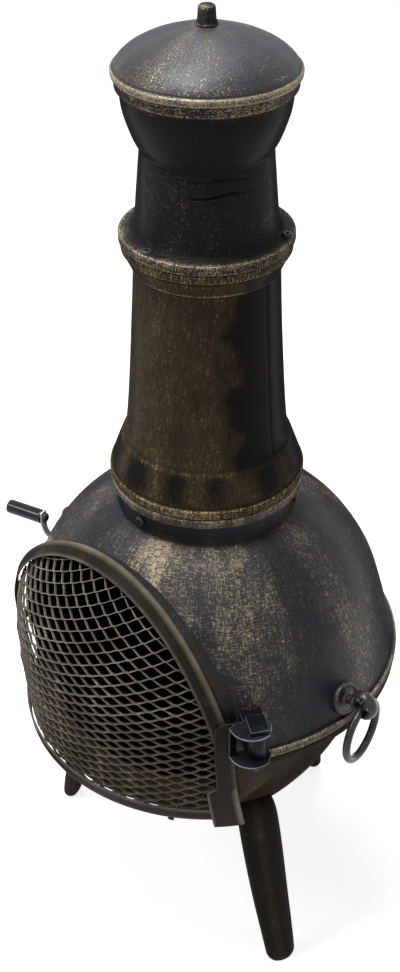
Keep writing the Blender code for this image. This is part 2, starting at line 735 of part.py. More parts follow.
def make_upper_chimney():
    foot = COLLAR_JOINT_HEIGHT + GAP
    plate = foot + COLLAR_THICKNESS
    cup_foot = CHIMNEY_TOP_HEIGHT - CUP_HEIGHT
    neck_foot = CUP_FOOT_RADIUS + NECK_TAPER
    rim = rounded_edge(CUP_RADIUS + 0.0035, CHIMNEY_TOP_HEIGHT, CHIMNEY_TOP_HEIGHT - 0.0110,
                       EDGE_ROUNDING)
    cup = smooth([
        (CUP_RADIUS, CHIMNEY_TOP_HEIGHT - 0.0125),
        (CUP_RADIUS - 0.0022, CHIMNEY_TOP_HEIGHT - 0.0255),
        (CUP_RADIUS - 0.0085, CHIMNEY_TOP_HEIGHT - 0.0445),
        (CUP_FOOT_RADIUS + 0.0012, cup_foot),
    ], 2)
    neck = [(CUP_FOOT_RADIUS + 0.0004, cup_foot - 0.0022)]
    for share in (0.30, 0.68):
        radius = CUP_FOOT_RADIUS + NECK_TAPER * share
        height = cup_foot + (plate - cup_foot) * share
        neck += [(radius, height + 0.0014), (radius - 0.0008, height), (radius, height - 0.0014)]
    neck.append((neck_foot, plate + 0.0150))
    neck.append((neck_foot + 0.0020, plate + 0.0080))
    neck.append((neck_foot + 0.0052, plate + 0.0026))
    collar = rounded_edge(COLLAR_RADIUS, plate, foot, EDGE_ROUNDING)
    inside = [(CUP_RADIUS - CHIMNEY_WALL, CHIMNEY_TOP_HEIGHT)]
    inside += thinned(offset(cup, CHIMNEY_WALL))[1:-1]
    inside.append((CUP_FOOT_RADIUS - CHIMNEY_WALL, cup_foot - 0.0010))
    inside.append((neck_foot - CHIMNEY_WALL, plate + 0.0100))
    inside.append((neck_foot - CHIMNEY_WALL + 0.0012, foot))
    profile = rim + cup + neck + collar + list(reversed(inside))
    chimney = turned("upper_chimney", profile, TUBE_STEPS)
    for side in SCREW_AZIMUTHS:
        cut(chimney, bpy.data.objects["collar_hole_" + side])
    return keep(chimney, "upper_chimney", "cast_iron")


def make_lid(seat):
    """Domed lid with a locating rim inside the cup; it lifts off."""
    low = CHIMNEY_TOP_HEIGHT + GAP
    rise = LID_TOP_HEIGHT - low
    bore = SCREW_RADIUS + GAP
    dome = smooth([
        (0.0120, LID_TOP_HEIGHT),
        (LID_RADIUS * 0.51, low + rise * 0.886),
        (LID_RADIUS * 0.83, low + rise * 0.665),
        (LID_RADIUS * 0.96, low + rise * 0.415),
        (LID_RADIUS, low + rise * 0.170),
    ], 2)
    edge = [(LID_RADIUS, low + rise * 0.06), (LID_RADIUS - 0.0015, low)]
    ring_out = CUP_RADIUS - CHIMNEY_WALL - LID_SPIGOT_CLEARANCE
    ring_in = ring_out - CHIMNEY_WALL
    ring = [(ring_out, low), (ring_out, low - LID_SPIGOT_DEPTH), (ring_in, low - LID_SPIGOT_DEPTH)]
    under = [(ring_in, low + rise * 0.44), (LID_RADIUS * 0.51, low + rise * 0.886 - CHIMNEY_WALL)]
    under += [(0.0120, LID_TOP_HEIGHT - CHIMNEY_WALL), (bore, LID_TOP_HEIGHT - CHIMNEY_WALL)]
    lid = turned("lid", [(bore, LID_TOP_HEIGHT)] + dome + edge + ring + under, TUBE_STEPS)
    return keep(lid, "lid", "cast_iron", seat)


def make_knob(seat):
    """Tapered stub with a rounded top, held by a screw from inside the lid."""
    low = LID_TOP_HEIGHT + GAP
    bore = SCREW_RADIUS + GAP
    radius = KNOB_RADIUS
    profile = [
        (0.0, low + KNOB_HEIGHT),
        (radius * 0.55, low + KNOB_HEIGHT * 0.985),
        (radius * 0.76, low + KNOB_HEIGHT * 0.92),
        (radius * 0.82, low + KNOB_HEIGHT * 0.80),
        (radius * 0.88, low + KNOB_HEIGHT * 0.30),
        (radius, low + KNOB_HEIGHT * 0.06),
        (radius, low),
        (bore, low),
        (bore, low + KNOB_HEIGHT * 0.6),
        (0.0, low + KNOB_HEIGHT * 0.6),
    ]
    keep(turned("lid_knob", profile, 16, ring=False), "lid_knob", "cast_iron", seat)
    depth = CHIMNEY_WALL + KNOB_HEIGHT * 0.5
    screw = screw_body("lid_knob_screw", SCREW_HEAD_RADIUS, SCREW_HEAD_HEIGHT, SCREW_RADIUS, depth)
    under = LID_TOP_HEIGHT - CHIMNEY_WALL - GAP
    aim(screw, (0.0, 0.0, under), (0.0, 0.0, -1.0))
    keep(screw, "lid_knob_screw", "zinc", seat)


# --------------------------------------------------------------- drills

def make_drills():
    """Cutters that two pieces share, so both holes line up."""
    mouth_prism()
    rim_notch("upper_rim_notch", DOME_FOOT_RADIUS + GAP)
    rim_notch("lower_rim_notch", DOOR_RADIUS - LIP_SETBACK)
    for side, azimuth in SCREW_AZIMUTHS.items():
        neck_screw_hole(azimuth, "neck_hole_" + side)
        collar_screw_hole(azimuth, "collar_hole_" + side)
    for side, azimuth in LEG_AZIMUTHS.items():
        place, out = wall_place(bowl_outline(), LEG_BOLT_REACH, azimuth)
        name = "leg_hole_" + side
        guide(rod(name, place - out * 0.012, place + out * (LEG_BOLT_GRIP + 0.0010),
                  STUD_RADIUS + GAP, SCREW_STEPS), name)
    for side, azimuth in BASE_STUD_AZIMUTHS.items():
        place, out = wall_place(bowl_outline(), BASE_STUD_REACH, azimuth)
        name = "stud_hole_" + side
        guide(rod(name, place - out * 0.015, place + out * 0.010, STUD_RADIUS + GAP,
                  SCREW_STEPS), name)
    for side, azimuth in RING_AZIMUTHS.items():
        place, out = ring_seat(azimuth)
        name = "ring_hole_" + side
        guide(rod(name, place - out * 0.015, place + out * 0.006, STUD_RADIUS + GAP,
                  SCREW_STEPS), name)


def wall_place(section, radius, azimuth):
    """Point on a turned wall at a radius, and its outward direction."""
    height, out = wall_frame(section, radius)
    direction = polar(azimuth, out.x, out.y)
    return polar(azimuth, radius, height), direction


def ring_seat(azimuth):
    """Where a carrying ring's rosette sits on the dome."""
    radius, out = radius_at(dome_outline(), RING_MOUNT_HEIGHT)
    return polar(azimuth, radius, RING_MOUNT_HEIGHT), polar(azimuth, out.x, out.y)


# ------------------------------------------------------------- fasteners

def make_chimney_screws():
    for side, azimuth in SCREW_AZIMUTHS.items():
        seat = collar_seat_height()
        length = seat - COLLAR_JOINT_HEIGHT + COLLAR_SCREW_GRIP
        name = "collar_screw_" + side
        screw = screw_body(name, SCREW_HEAD_RADIUS, SCREW_HEAD_HEIGHT, SCREW_RADIUS, length)
        aim(screw, polar(azimuth, COLLAR_SCREW_REACH, seat + GAP), (0.0, 0.0, 1.0))
        keep(screw, name, "black_steel")
        name = "neck_screw_" + side
        screw = screw_body(name, SCREW_HEAD_RADIUS, SCREW_HEAD_HEIGHT, SCREW_RADIUS,
                           NECK_SCREW_LENGTH)
        aim(screw, polar(azimuth, NECK_RADIUS + GAP, NECK_SCREW_HEIGHT), polar(azimuth, 1.0, 0.0))
        keep(screw, name, "black_steel")


def make_base_studs():
    """Two bolts through the bowl with their nuts underneath."""
    for side, azimuth in BASE_STUD_AZIMUTHS.items():
        place, out = wall_place(bowl_outline(), BASE_STUD_REACH, azimuth)
        length = CAST_WALL + 0.0100
        name = "base_bolt_" + side
        bolt = screw_body(name, 0.0062, 0.0035, STUD_RADIUS, length)
        aim(bolt, place - out * (CAST_WALL + GAP + BOLT_STAND), -out)
        keep(bolt, name, "black_steel")
        name = "base_nut_" + side
        nut = nut_body(name, STUD_RADIUS + GAP)
        aim(nut, place + out * (GAP + BOLT_STAND), out)
        keep(nut, name, "black_steel")


# ----------------------------------------------------------------- legs

def leg_spine():
    """Centre line of a leg in its own radial plane, down to its toe."""
    height, out = wall_frame(bowl_outline(), LEG_TOP_REACH)
    start = Vector((LEG_TOP_REACH, height))
    return smooth([
        tuple(start - out * 0.012),
        tuple(start + out * 0.010),
        (LEG_TOP_REACH + 0.0190, height - 0.0400),
        (LEG_FOOT_REACH - 0.0170, height * 0.46),
        (LEG_FOOT_REACH - 0.0050, height * 0.16),
        (LEG_FOOT_REACH, -LEG_TOE_CUT),
    ], 3)


def leg_widths(spine):
    """Share of the top width at each point, with a round toe at the end."""
    down = [0.0]
    for before, after in zip(spine, spine[1:]):
        down.append(down[-1] + (Vector(after) - Vector(before)).length)
    taper = LEG_FOOT_WIDTH / LEG_TOP_WIDTH
    toe = LEG_FOOT_WIDTH / 2.0
    shares = []
    for reach in down:
        share = 1.0 + (taper - 1.0) * (reach / down[-1]) ** 0.7
        left = down[-1] - reach
        if left < toe:
            share *= math.sqrt(max(0.0, 1.0 - (1.0 - left / toe) ** 2))
        shares.append(max(share, 0.05))
    return shares


def leg_section():
    """Full oval section of a leg at its top."""
    section = bpy.data.curves.new("leg_section", 'CURVE')
    section.dimensions = '2D'
    steps = 14
    spline = section.splines.new('POLY')
    spline.points.add(steps - 1)
    for i, point in enumerate(spline.points):
        turn = math.tau * (i + 0.5) / steps
        x = math.copysign(abs(math.cos(turn)) ** (2.0 / LEG_FULLNESS), math.cos(turn))
        y = math.copysign(abs(math.sin(turn)) ** (2.0 / LEG_FULLNESS), math.sin(turn))
        point.co = (x * LEG_TOP_WIDTH / 2.0, y * LEG_THICKNESS / 2.0, 0.0, 1.0)
    spline.use_cyclic_u = True
    rail = bpy.data.objects.new("leg_section", section)
    bpy.context.scene.collection.objects.link(rail)
    return rail


def make_leg(side, azimuth):
    rail = leg_section()
    path = bpy.data.curves.new("leg", 'CURVE')
    path.dimensions = '3D'
    path.twist_mode = 'Z_UP'
    path.bevel_mode = 'OBJECT'
    path.bevel_object = rail
    path.use_fill_caps = True
    spine = leg_spine()
    toe_start = spine[-1][1] + LEG_FOOT_WIDTH / 2.0
    spine = [point for point in spine if point[1] > toe_start] + [
        (LEG_FOOT_REACH - 0.0004, toe_start - LEG_FOOT_WIDTH / 2.0 * math.sin(math.radians(turn)))
        for turn in (0.0, 30.0, 50.0, 65.0, 80.0)]
    line = path.splines.new('POLY')
    line.points.add(len(spine) - 1)
    for point, (radius, height), share in zip(line.points, spine, leg_widths(spine)):
        point.co = (radius, 0.0, height, 1.0)
        point.radius = share
    leg = bpy.data.objects.new("leg", path)
    bpy.context.scene.collection.objects.link(leg)
    leg.rotation_euler = (0.0, 0.0, math.radians(azimuth - 90.0))
    leg = to_mesh(leg)
    bpy.data.objects.remove(rail, do_unlink=True)
    cut(leg, bpy.data.objects["bowl_room"])
    cut(leg, bpy.data.objects["ground"])
    cut(leg, bpy.data.objects["leg_hole_" + side])
    keep(leg, "leg_" + side, "bronze_iron")

    place, out = wall_place(bowl_outline(), LEG_BOLT_REACH, azimuth)
    name = "leg_bolt_" + side
    bolt = screw_body(name, 0.0065, 0.0040, STUD_RADIUS, CAST_WALL + LEG_BOLT_GRIP)
    aim(bolt, place - out * (CAST_WALL + GAP + BOLT_STAND), -out)
    keep(bolt, name, "black_steel")


def make_legs():
    wall = offset(bowl_outline(), -GAP)
    low = wall[-1][1]
    room = [(0.0, wall[0][1])] + wall + [(0.0, low)]
    guide(turned("bowl_room", room, BOWL_STEPS, ring=False), "bowl_room")
    guide(box("ground", (-0.4, -0.4, -0.1), (0.4, 0.4, 0.0)), "ground")
    for side, azimuth in LEG_AZIMUTHS.items():
        make_leg(side, azimuth)


# -------------------------------------------------------- carrying rings

def make_carrying_ring(side, azimuth):
    """Rosette with an eye on the dome, its nut inside, and the loose ring."""
    place, out = ring_seat(azimuth)
    rosette = turned("rosette", [
        (0.0, 0.0062),
        (ROSETTE_RADIUS * 0.35, 0.0060),
        (ROSETTE_RADIUS * 0.48, 0.0040),
        (ROSETTE_RADIUS * 0.80, 0.0040),
        (ROSETTE_RADIUS * 0.92, 0.0034),
        (ROSETTE_RADIUS, 0.0016),
        (ROSETTE_RADIUS, -0.0030),
        (0.0, -0.0030),
    ], 16, ring=False)
    aim(rosette, place, out)
    across = Vector((0.0, 0.0, 1.0)).cross(polar(azimuth, 1.0, 0.0))
    eye_center = place + out * EYE_STAND
    bpy.ops.mesh.primitive_torus_add(major_segments=16, minor_segments=6,
                                     major_radius=EYE_RADIUS, minor_radius=EYE_BAR_RADIUS)
    eye = bpy.context.object
    aim(eye, eye_center, across)
    stem = rod("stem", place + out * 0.003, place + out * (EYE_STAND - EYE_RADIUS + 0.001),
               EYE_BAR_RADIUS * 1.15, SCREW_STEPS)
    stud = rod("stud", place - out * (CAST_WALL + 0.0090), place + out * 0.001, STUD_RADIUS,
               SCREW_STEPS)
    cut(rosette, bpy.data.objects["dome_room"])
    join(rosette, guide(eye, "ring_eye_" + side))
    join(rosette, guide(stem, "ring_stem_" + side))
    join(rosette, guide(stud, "ring_stud_" + side))
    keep(rosette, "ring_mount_" + side, "bronze_iron")

    name = "ring_nut_" + side
    nut = nut_body(name, STUD_RADIUS + GAP)
    aim(nut, place - out * (CAST_WALL + GAP + BOLT_STAND), -out)
    keep(nut, name, "black_steel")

    hang = EYE_BAR_RADIUS - EYE_RADIUS + RING_BAR_RADIUS + RING_HANG_GAP
    top = eye_center + Vector((0.0, 0.0, hang))
    pivot = bpy.data.objects.new("ring_pivot_" + side, None)
    pivot.location = top
    PIECES.objects.link(pivot)
    bpy.ops.mesh.primitive_torus_add(major_segments=22, minor_segments=6,
                                     major_radius=RING_RADIUS, minor_radius=RING_BAR_RADIUS)
    ring = bpy.context.object
    twist = RING_TWIST if azimuth > 0.0 else -RING_TWIST
    aim(ring, top - Vector((0.0, 0.0, RING_RADIUS)), polar(azimuth + twist, 1.0, 0.0))
    ring.data.shade_smooth()
    keep(ring, "carry_ring_" + side, "cast_iron", pivot)


def make_carrying_rings():
    wall = offset(dome_outline(), -GAP)
    room = [(0.0, wall[0][1])] + wall + [(0.0, wall[-1][1])]
    guide(turned("dome_room", room, BOWL_STEPS, ring=False), "dome_room")
    for side, azimuth in RING_AZIMUTHS.items():
        make_carrying_ring(side, azimuth)


# ----------------------------------------------------------------- door

def dish_plate(name, loops, face, thickness):
    """Sheet cut in front view and dished; face is its depth in the dish."""
    blank = front_prism(name, loops, near=-0.26, far=-0.05)
    top = DOOR_ARCH_CENTRE + DOOR_ARCH_RADIUS + 0.004
    bottom = DOOR_FOOT - PLATE_DROP - 0.004
    outer = dish_section(face, top, bottom)
    inner = dish_section(face + thickness, top, bottom)
    shell = turned(name + "_dish", outer + list(reversed(inner)), DOOR_STEPS)
    trim(blank, guide(shell, name + "_dish"))
    return blank


def make_door_frame(hinge):
    outer = arch(DOOR_ARCH_CENTRE, DOOR_ARCH_RADIUS, DOOR_FOOT, 0.002, 30)
    inner = arch(DOOR_ARCH_CENTRE, DOOR_ARCH_RADIUS - DOOR_BAND, DOOR_FOOT + DOOR_SILL_BAND,
                 0.003, 30)
    frame = dish_plate("door_frame", [outer, inner], 0.0, DOOR_SHEET)
    keep(frame, "door_frame", "door_steel", hinge)


def make_door_plates(hinge):
    """Upright plates on the frame's hinge side and latch side."""
    edge = PLATE_EDGE
    for name, sign, top in (("hinge", 1.0, HINGE_PLATE_TOP), ("latch", -1.0, LATCH_PLATE_TOP)):
        low = DOOR_FOOT - PLATE_DROP if sign > 0.0 else DOOR_FOOT - PLATE_DROP * 0.5
        loop = [(sign * edge, low), (sign * edge, top)]
        loop += [(sign * (edge - PLATE_WIDTH), top), (sign * (edge - PLATE_WIDTH), low)]
        plate = dish_plate("door_%s_plate" % name, [loop], -DOOR_SHEET - GAP, DOOR_SHEET)
        keep(plate, "door_%s_plate" % name, "door_steel", hinge)


def panel_outline():
    """Edge of the mesh panel: arc length along the dish, and height."""
    radius = DOOR_ARCH_RADIUS - MESH_MARGIN
    foot = DOOR_FOOT + MESH_MARGIN
    side = math.radians(MESH_SIDE_AZIMUTH)
    line = []
    for x, height in arc(0.0, DOOR_ARCH_CENTRE, radius, 0.0, 180.0, 24):
        turn = math.asin(x / dish_radius(height))
        turn = max(-side, min(side, turn))
        line.append((turn * DOOR_RADIUS, height))
    line.append((line[-1][0], foot))
    line.append((line[0][0], foot))
    return line


def make_door_mesh(hinge):
    """Expanded-metal panel: one sheet of slit and stretched diamonds."""
    line = panel_outline()
    net = bmesh.new()
    half_long = MESH_LONG_WAY / 2.0
    half_short = MESH_SHORT_WAY / 2.0
    columns = int(max(x for x, _ in line) / half_long) + 2
    top = max(height for _, height in line)
    foot = min(height for _, height in line)
    middle = (top + foot) / 2.0
    rows = int((top - middle) / half_short) + 2
    knots = {}
    for i in range(-columns, columns + 1):
        for j in range(-rows, rows + 1):
            if (i + j) % 2 == 0:
                knots[i, j] = net.verts.new((i * half_long, 0.0, middle + j * half_short))
    for i in range(-columns + 1, columns):
        for j in range(-rows + 1, rows):
            if (i + j) % 2:
                net.faces.new((knots[i - 1, j], knots[i, j - 1], knots[i + 1, j], knots[i, j + 1]))
    for (x0, z0), (x1, z1) in zip(line, line[1:] + line[:1]):
        if abs(x1 - x0) + abs(z1 - z0) < 1e-7:
            continue
        out = Vector((z1 - z0, 0.0, x0 - x1)).normalized()
        every = net.verts[:] + net.edges[:] + net.faces[:]
        bmesh.ops.bisect_plane(net, geom=every, plane_co=(x0, 0.0, z0), plane_no=out,
                               clear_outer=True)
    bmesh.ops.remove_doubles(net, verts=net.verts, dist=MESH_STRAND * 1.5)
    loose = [vert for vert in net.verts if not vert.link_faces]
    bmesh.ops.delete(net, geom=loose, context='VERTS')
    depth = DOOR_SHEET + MESH_SEAT + MESH_STRAND / 2.0
    for vert in net.verts:
        turn = vert.co.x / DOOR_RADIUS
        radius, height = dish_point(vert.co.z, depth)
        vert.co = (radius * math.sin(turn), -radius * math.cos(turn), height)
    bmesh.ops.recalc_face_normals(net, faces=net.faces)
    shape = bpy.data.meshes.new("door_mesh")
    net.to_mesh(shape)
    net.free()
    panel = bpy.data.objects.new("door_mesh", shape)
    bpy.context.scene.collection.objects.link(panel)
    strands = panel.modifiers.new("Strands", 'WIREFRAME')
    strands.thickness = MESH_STRAND
    strands.use_even_offset = False
    strands.use_boundary = True
    strands.use_replace = True
    keep(panel, "door_mesh", "door_steel", hinge)


# ---------------------------------------------------------------- hinge

def ear_outline():
    """Ear of the hinge bracket in plan, about the pin."""
    web = PLATE_EDGE + GAP
    pin = polar(PIN_AZIMUTH, PIN_RADIUS, 0.0)
    bulge = arc(pin.x - 0.0056, pin.y - 0.0009, EAR_ROUND, -118.0, 6.0, 8)
    back = arc(pin.x, pin.y, 0.0120, 12.0, 150.0, 6)
    web_out = (web, bulge[0][1])
    web_in = (web, pin.y - 0.0104)
    return [web_out] + bulge + back + [web_in]


def make_hinge_bracket(hinge):
    """Clevis of bent sheet: two ears over and under the lug, one web."""
    pin = polar(PIN_AZIMUTH, PIN_RADIUS, 0.0)
    web = PLATE_EDGE + GAP
    bracket = level_plate("hinge_bracket", [ear_outline()], EAR_LOW, EAR_HIGH + EAR_SHEET)
    inside = box("ear_space", (web + EAR_SHEET, pin.y - 0.05, EAR_LOW + EAR_SHEET),
                 (web + 0.06, pin.y + 0.05, EAR_HIGH))
    cut(bracket, guide(inside, "ear_space"))
    drill = rod("ear_bore", (pin.x, pin.y, EAR_LOW - 0.01), (pin.x, pin.y, EAR_HIGH + 0.01),
                PIN_BOLT_RADIUS + GAP)
    cut(bracket, guide(drill, "ear_bore"))
    keep(bracket, "hinge_bracket", "black_steel", hinge)


def make_hinge_bolt():
    pin = polar(PIN_AZIMUTH, PIN_RADIUS, 0.0)
    seat = EAR_HIGH + EAR_SHEET + GAP
    half = BOLT_HEAD_SIDE / 2.0
    head = box("hinge_bolt", (-half, -half * 0.8, 0.0), (half, half * 0.8, BOLT_HEAD_THICKNESS))
    soften = head.modifiers.new("Soften", 'BEVEL')
    soften.width = 0.0008
    soften.segments = 1
    shank = rod("hinge_shank", (0.0, 0.0, -BOLT_LENGTH), (0.0, 0.0, 0.001), PIN_BOLT_RADIUS)
    head.location = (pin.x, pin.y, seat)
    head.rotation_euler = (0.0, 0.0, math.radians(PIN_AZIMUTH - 90.0))
    shank.location = head.location
    join(head, guide(shank, "hinge_shank"))
    keep(head, "hinge_bolt", "black_steel")
    nut = nut_body("hinge_nut", PIN_BOLT_RADIUS + GAP)
    aim(nut, (pin.x, pin.y, EAR_LOW - GAP), (0.0, 0.0, -1.0))
    keep(nut, "hinge_nut", "black_steel")


# --------------------------------------------------------------- handle

def edge_height(azimuth):
    """Height where the frame's outer edge crosses an azimuth."""
    low, high = DOOR_ARCH_CENTRE, DOOR_ARCH_CENTRE + DOOR_ARCH_RADIUS
    for _ in range(40):
        middle = (low + high) / 2.0
        x = dish_radius(middle) * math.sin(math.radians(azimuth))
        if x * x + (middle - DOOR_ARCH_CENTRE) ** 2 < DOOR_ARCH_RADIUS ** 2:
            low = middle
        else:
            high = middle
    return low


def make_handle(hinge):
    """Twisted strip off the back of the frame, with a round grip."""
    edge = edge_height(HANDLE_AZIMUTH)
    behind = DOOR_SHEET + MESH_SEAT + GAP + STRIP_SHEET / 2.0
    corner = math.degrees(STRIP_WIDTH / 2.0 / dish_radius(edge))
    past = edge_height(HANDLE_AZIMUTH + corner) - edge + STRIP_CLEAR
    grip_height = edge + HANDLE_RISE
    grip_radius = dish_radius(edge) - 0.0030
    spine = [
        dish_point(edge - 0.0022, behind),
        dish_point(edge + 0.0020, behind),
        dish_point(edge + past, behind),
        (grip_radius - 0.0020, edge + max(HANDLE_RISE * 0.46, past + 0.0050)),
        (grip_radius, edge + HANDLE_RISE * 0.76),
        (grip_radius, grip_height),
        (grip_radius, grip_height + STRIP_WIDTH * 0.72),
    ]
    turn = math.atan2(GRIP_DIRECTION.x, -GRIP_DIRECTION.y)
    start = math.radians(HANDLE_AZIMUTH)
    shares = (0.0, 0.0, 0.0, 0.5, 0.9, 1.0, 1.0)
    strip = bmesh.new()
    rows = []
    for i, ((radius, height), share) in enumerate(zip(spine, shares)):
        before = Vector(spine[max(i - 1, 0)])
        after = Vector(spine[min(i + 1, len(spine) - 1)])
        along = (after - before).normalized()
        face = start + (turn - start) * share
        out = Vector((math.sin(face), -math.cos(face), 0.0))
        lean = out * along.y - Vector((0.0, 0.0, along.x)) * (1.0 - share)
        lean.normalize()
        wide = Vector((math.cos(face), math.sin(face), 0.0))
        middle = polar(HANDLE_AZIMUTH, radius, height)
        row = []
        for a, b in ((-0.5, -0.5), (0.5, -0.5), (0.5, 0.5), (-0.5, 0.5)):
            spot = middle + wide * (STRIP_WIDTH * a) + lean * (STRIP_SHEET * b)
            row.append(strip.verts.new(spot))
        rows.append(row)
    for below, above in zip(rows, rows[1:]):
        for k in range(4):
            strip.faces.new((below[k], below[(k + 1) % 4], above[(k + 1) % 4], above[k]))
    strip.faces.new(rows[0][::-1])
    strip.faces.new(rows[-1])
    bmesh.ops.recalc_face_normals(strip, faces=strip.faces)
    shape = bpy.data.meshes.new("handle_strip")
    strip.to_mesh(shape)
    strip.free()
    bar = bpy.data.objects.new("handle_strip", shape)
    bpy.context.scene.collection.objects.link(bar)
    center = polar(HANDLE_AZIMUTH, grip_radius, grip_height)
    drill = rod("handle_bore", center - GRIP_DIRECTION * 0.01, center + GRIP_DIRECTION * 0.01,
                HANDLE_SCREW_RADIUS + GAP, SCREW_STEPS)
    cut(bar, guide(drill, "handle_bore"))
    keep(bar, "handle_strip", "bright_steel", hinge)

    bore = HANDLE_SCREW_RADIUS + GAP
    depth = GRIP_LENGTH * 0.5
    grip = turned("handle_grip", [
        (0.0, GRIP_LENGTH),
        (GRIP_RADIUS - 0.0010, GRIP_LENGTH),
        (GRIP_RADIUS, GRIP_LENGTH - 0.0010),
        (GRIP_RADIUS, 0.0008),
        (GRIP_RADIUS - 0.0008, 0.0),
        (bore, 0.0),
        (bore, depth),
        (0.0, depth),
    ], 20, ring=False)
    aim(grip, center + GRIP_DIRECTION * (STRIP_SHEET / 2.0 + GAP), GRIP_DIRECTION)
    keep(grip, "handle_grip", "grip_black", hinge)
    screw = screw_body("handle_screw", SCREW_HEAD_RADIUS, SCREW_HEAD_HEIGHT, HANDLE_SCREW_RADIUS,
                       STRIP_SHEET + depth * 0.85)
    aim(screw, center - GRIP_DIRECTION * (STRIP_SHEET / 2.0 + GAP), -GRIP_DIRECTION)
    keep(screw, "handle_screw", "black_steel", hinge)


# ---------------------------------------------------------------- build

def empty(name, place):
    made = bpy.data.objects.new(name, None)
    made.location = place
    PIECES.objects.link(made)
    return made


def build():
    make_drills()
    make_upper_bowl()
    make_lower_bowl()
    make_lower_chimney()
    make_upper_chimney()
    lid_seat = empty("lid_seat", (0.0, 0.0, CHIMNEY_TOP_HEIGHT))
    make_lid(lid_seat)
    make_knob(lid_seat)
    make_chimney_screws()
    make_base_studs()
    make_legs()
    make_carrying_rings()
    pin = polar(PIN_AZIMUTH, PIN_RADIUS, EAR_LOW)
    door_hinge = empty("door_hinge", pin)
    make_door_frame(door_hinge)
    make_door_plates(door_hinge)
    make_door_mesh(door_hinge)
    make_hinge_bracket(door_hinge)
    make_hinge_bolt()
    make_handle(door_hinge)


clear_scene()
PIECES = collection("Chiminea")
CUTTERS = collection("Cutters")
build()
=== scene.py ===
"""Cast-iron chiminea with a rubbed bronze finish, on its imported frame.

Metres, +Z up, the door towards -Y. Azimuths are in degrees, 0 at the door
and 90 at +X. Every casting is a section turned about the chimney axis.
"""
import math

import bmesh
import bpy
import numpy as np
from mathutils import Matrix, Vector


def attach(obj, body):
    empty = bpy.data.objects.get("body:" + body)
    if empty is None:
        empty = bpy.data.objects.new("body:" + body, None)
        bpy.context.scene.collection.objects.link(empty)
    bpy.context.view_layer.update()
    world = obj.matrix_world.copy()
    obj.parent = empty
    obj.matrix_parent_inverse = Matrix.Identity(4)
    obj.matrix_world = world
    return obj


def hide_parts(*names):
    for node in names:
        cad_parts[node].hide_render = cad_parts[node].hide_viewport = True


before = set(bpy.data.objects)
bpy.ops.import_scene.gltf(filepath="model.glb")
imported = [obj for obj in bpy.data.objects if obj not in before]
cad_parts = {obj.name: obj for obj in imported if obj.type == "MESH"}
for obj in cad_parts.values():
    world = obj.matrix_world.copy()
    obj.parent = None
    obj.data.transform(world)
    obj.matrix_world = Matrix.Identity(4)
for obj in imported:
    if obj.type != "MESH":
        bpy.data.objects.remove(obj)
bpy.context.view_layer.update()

# Sizes that the pieces share
GAP = 0.0003                 # half of the play between two castings, or the play under a head
HEAD_PLAY = 0.0008           # the same on a curved wall
JOINT = 0.2935               # plane between the two bowl castings
RIM_RADIUS = 0.178
RIM_TOP = 0.302
RIM_FOOT = 0.285
NECK_RADIUS = 0.079
NECK_FOOT = 0.453
CAST_WALL = 0.005
FLANGE_JOINT = 0.483
FLANGE_RADIUS = 0.0843
FLANGE_FOOT = 0.4739         # underside of the upper bowl's flange
NECK_SCREW_HEIGHT = 0.463
COLLAR_JOINT = 0.7015
COLLAR_RADIUS = 0.0707
COLLAR_PLATE = 0.0085        # thickness of the upper chimney's foot plate
CHIMNEY_TOP = 0.8342
CUP_RADIUS = 0.0665
LID_TOP = 0.8712
LID_RADIUS = 0.0725
BOWL_RADIUS = 0.157
BOWL_DEPTH = 0.216
BASE_RADIUS = 0.045
ARCH_CENTRE = 0.3025         # of the door's arch
ARCH_RADIUS = 0.141
DOOR_FOOT = 0.220
MOUTH_CENTRE = 0.300
LIP_RADIUS = 0.137
LIP_WALL = 0.005
LIP_MIDDLE = LIP_RADIUS - LIP_WALL / 2.0
SILL = 0.240
SILL_DEPTH = 0.0165
SILL_FORWARD = 0.0025        # how much nearer the door the sill is than the rest of the lip
LIP_SETBACK = 0.010          # from the door's face to the front of the lip
NOTCH_END = 55.0             # azimuth where the rims' step for the door ends
BELLY = 0.325                # height where the door's dish is widest
DISH_RADIUS = 0.1797
DISH_RISE = 0.158
DISH_FALL = 0.360
SHEET = 0.002
FRAME_WIDTH = 0.009
PLATE_EDGE = 0.1425
PLATE_WIDTH = 0.016
PLATE_TOP_WIDTH = 0.0098     # where it follows the frame's band
STRAND_LONG = 0.0240         # long way of one diamond of the mesh
STRAND_SHORT = 0.0100
PIN_AZIMUTH = 58.0
PIN_RADIUS = 0.187
EAR_LOW = 0.3095
EAR_HIGH = 0.3412
EAR_SHEET = 0.0018
EAR_BULGE = 0.0195           # radius of an ear's outer end
EAR_BACK = 0.012
HANDLE_AZIMUTH = -35.5
GRIP_RISE = 0.029            # of the grip's axis above the frame's edge
GRIP_SETBACK = 0.003
GRIP_DIRECTION = (-0.958, -0.286, 0.0)
LEGS = (("right", 68.0), ("left", -68.0), ("back", 180.0))
LEG_ROOT = 0.116             # radius where a leg's centre line meets the bowl
LEG_TOE = 0.164
LEG_HALF_WIDTH = 0.0205
LEG_HALF_THICKNESS = 0.0076
LEG_LEAN = 0.0130            # how far a side leg's toe is behind its root
LEG_BOLT_RADIUS = 0.112
BASE_BOLTS = (("right", 24.0), ("left", -24.0))
BASE_BOLT_RADIUS = 0.090
SCREW_AZIMUTHS = (("front", 0.0), ("right", 120.0), ("left", 240.0))
RINGS = (("right", 90.0), ("left", -90.0))
RING_HEIGHT = 0.318
RING_STANDOFF = 0.022        # from the dome's wall to the middle of the eye
RING_TWIST = 12.0
RING_RADIUS = 0.027
RING_BAR = 0.0035
EYE_RADIUS = 0.0105
EYE_BAR = 0.0032
SHARP_ANGLE = 38.0           # an edge sharper than this isn't shaded smooth


# ------------------------------------------------------------ sections

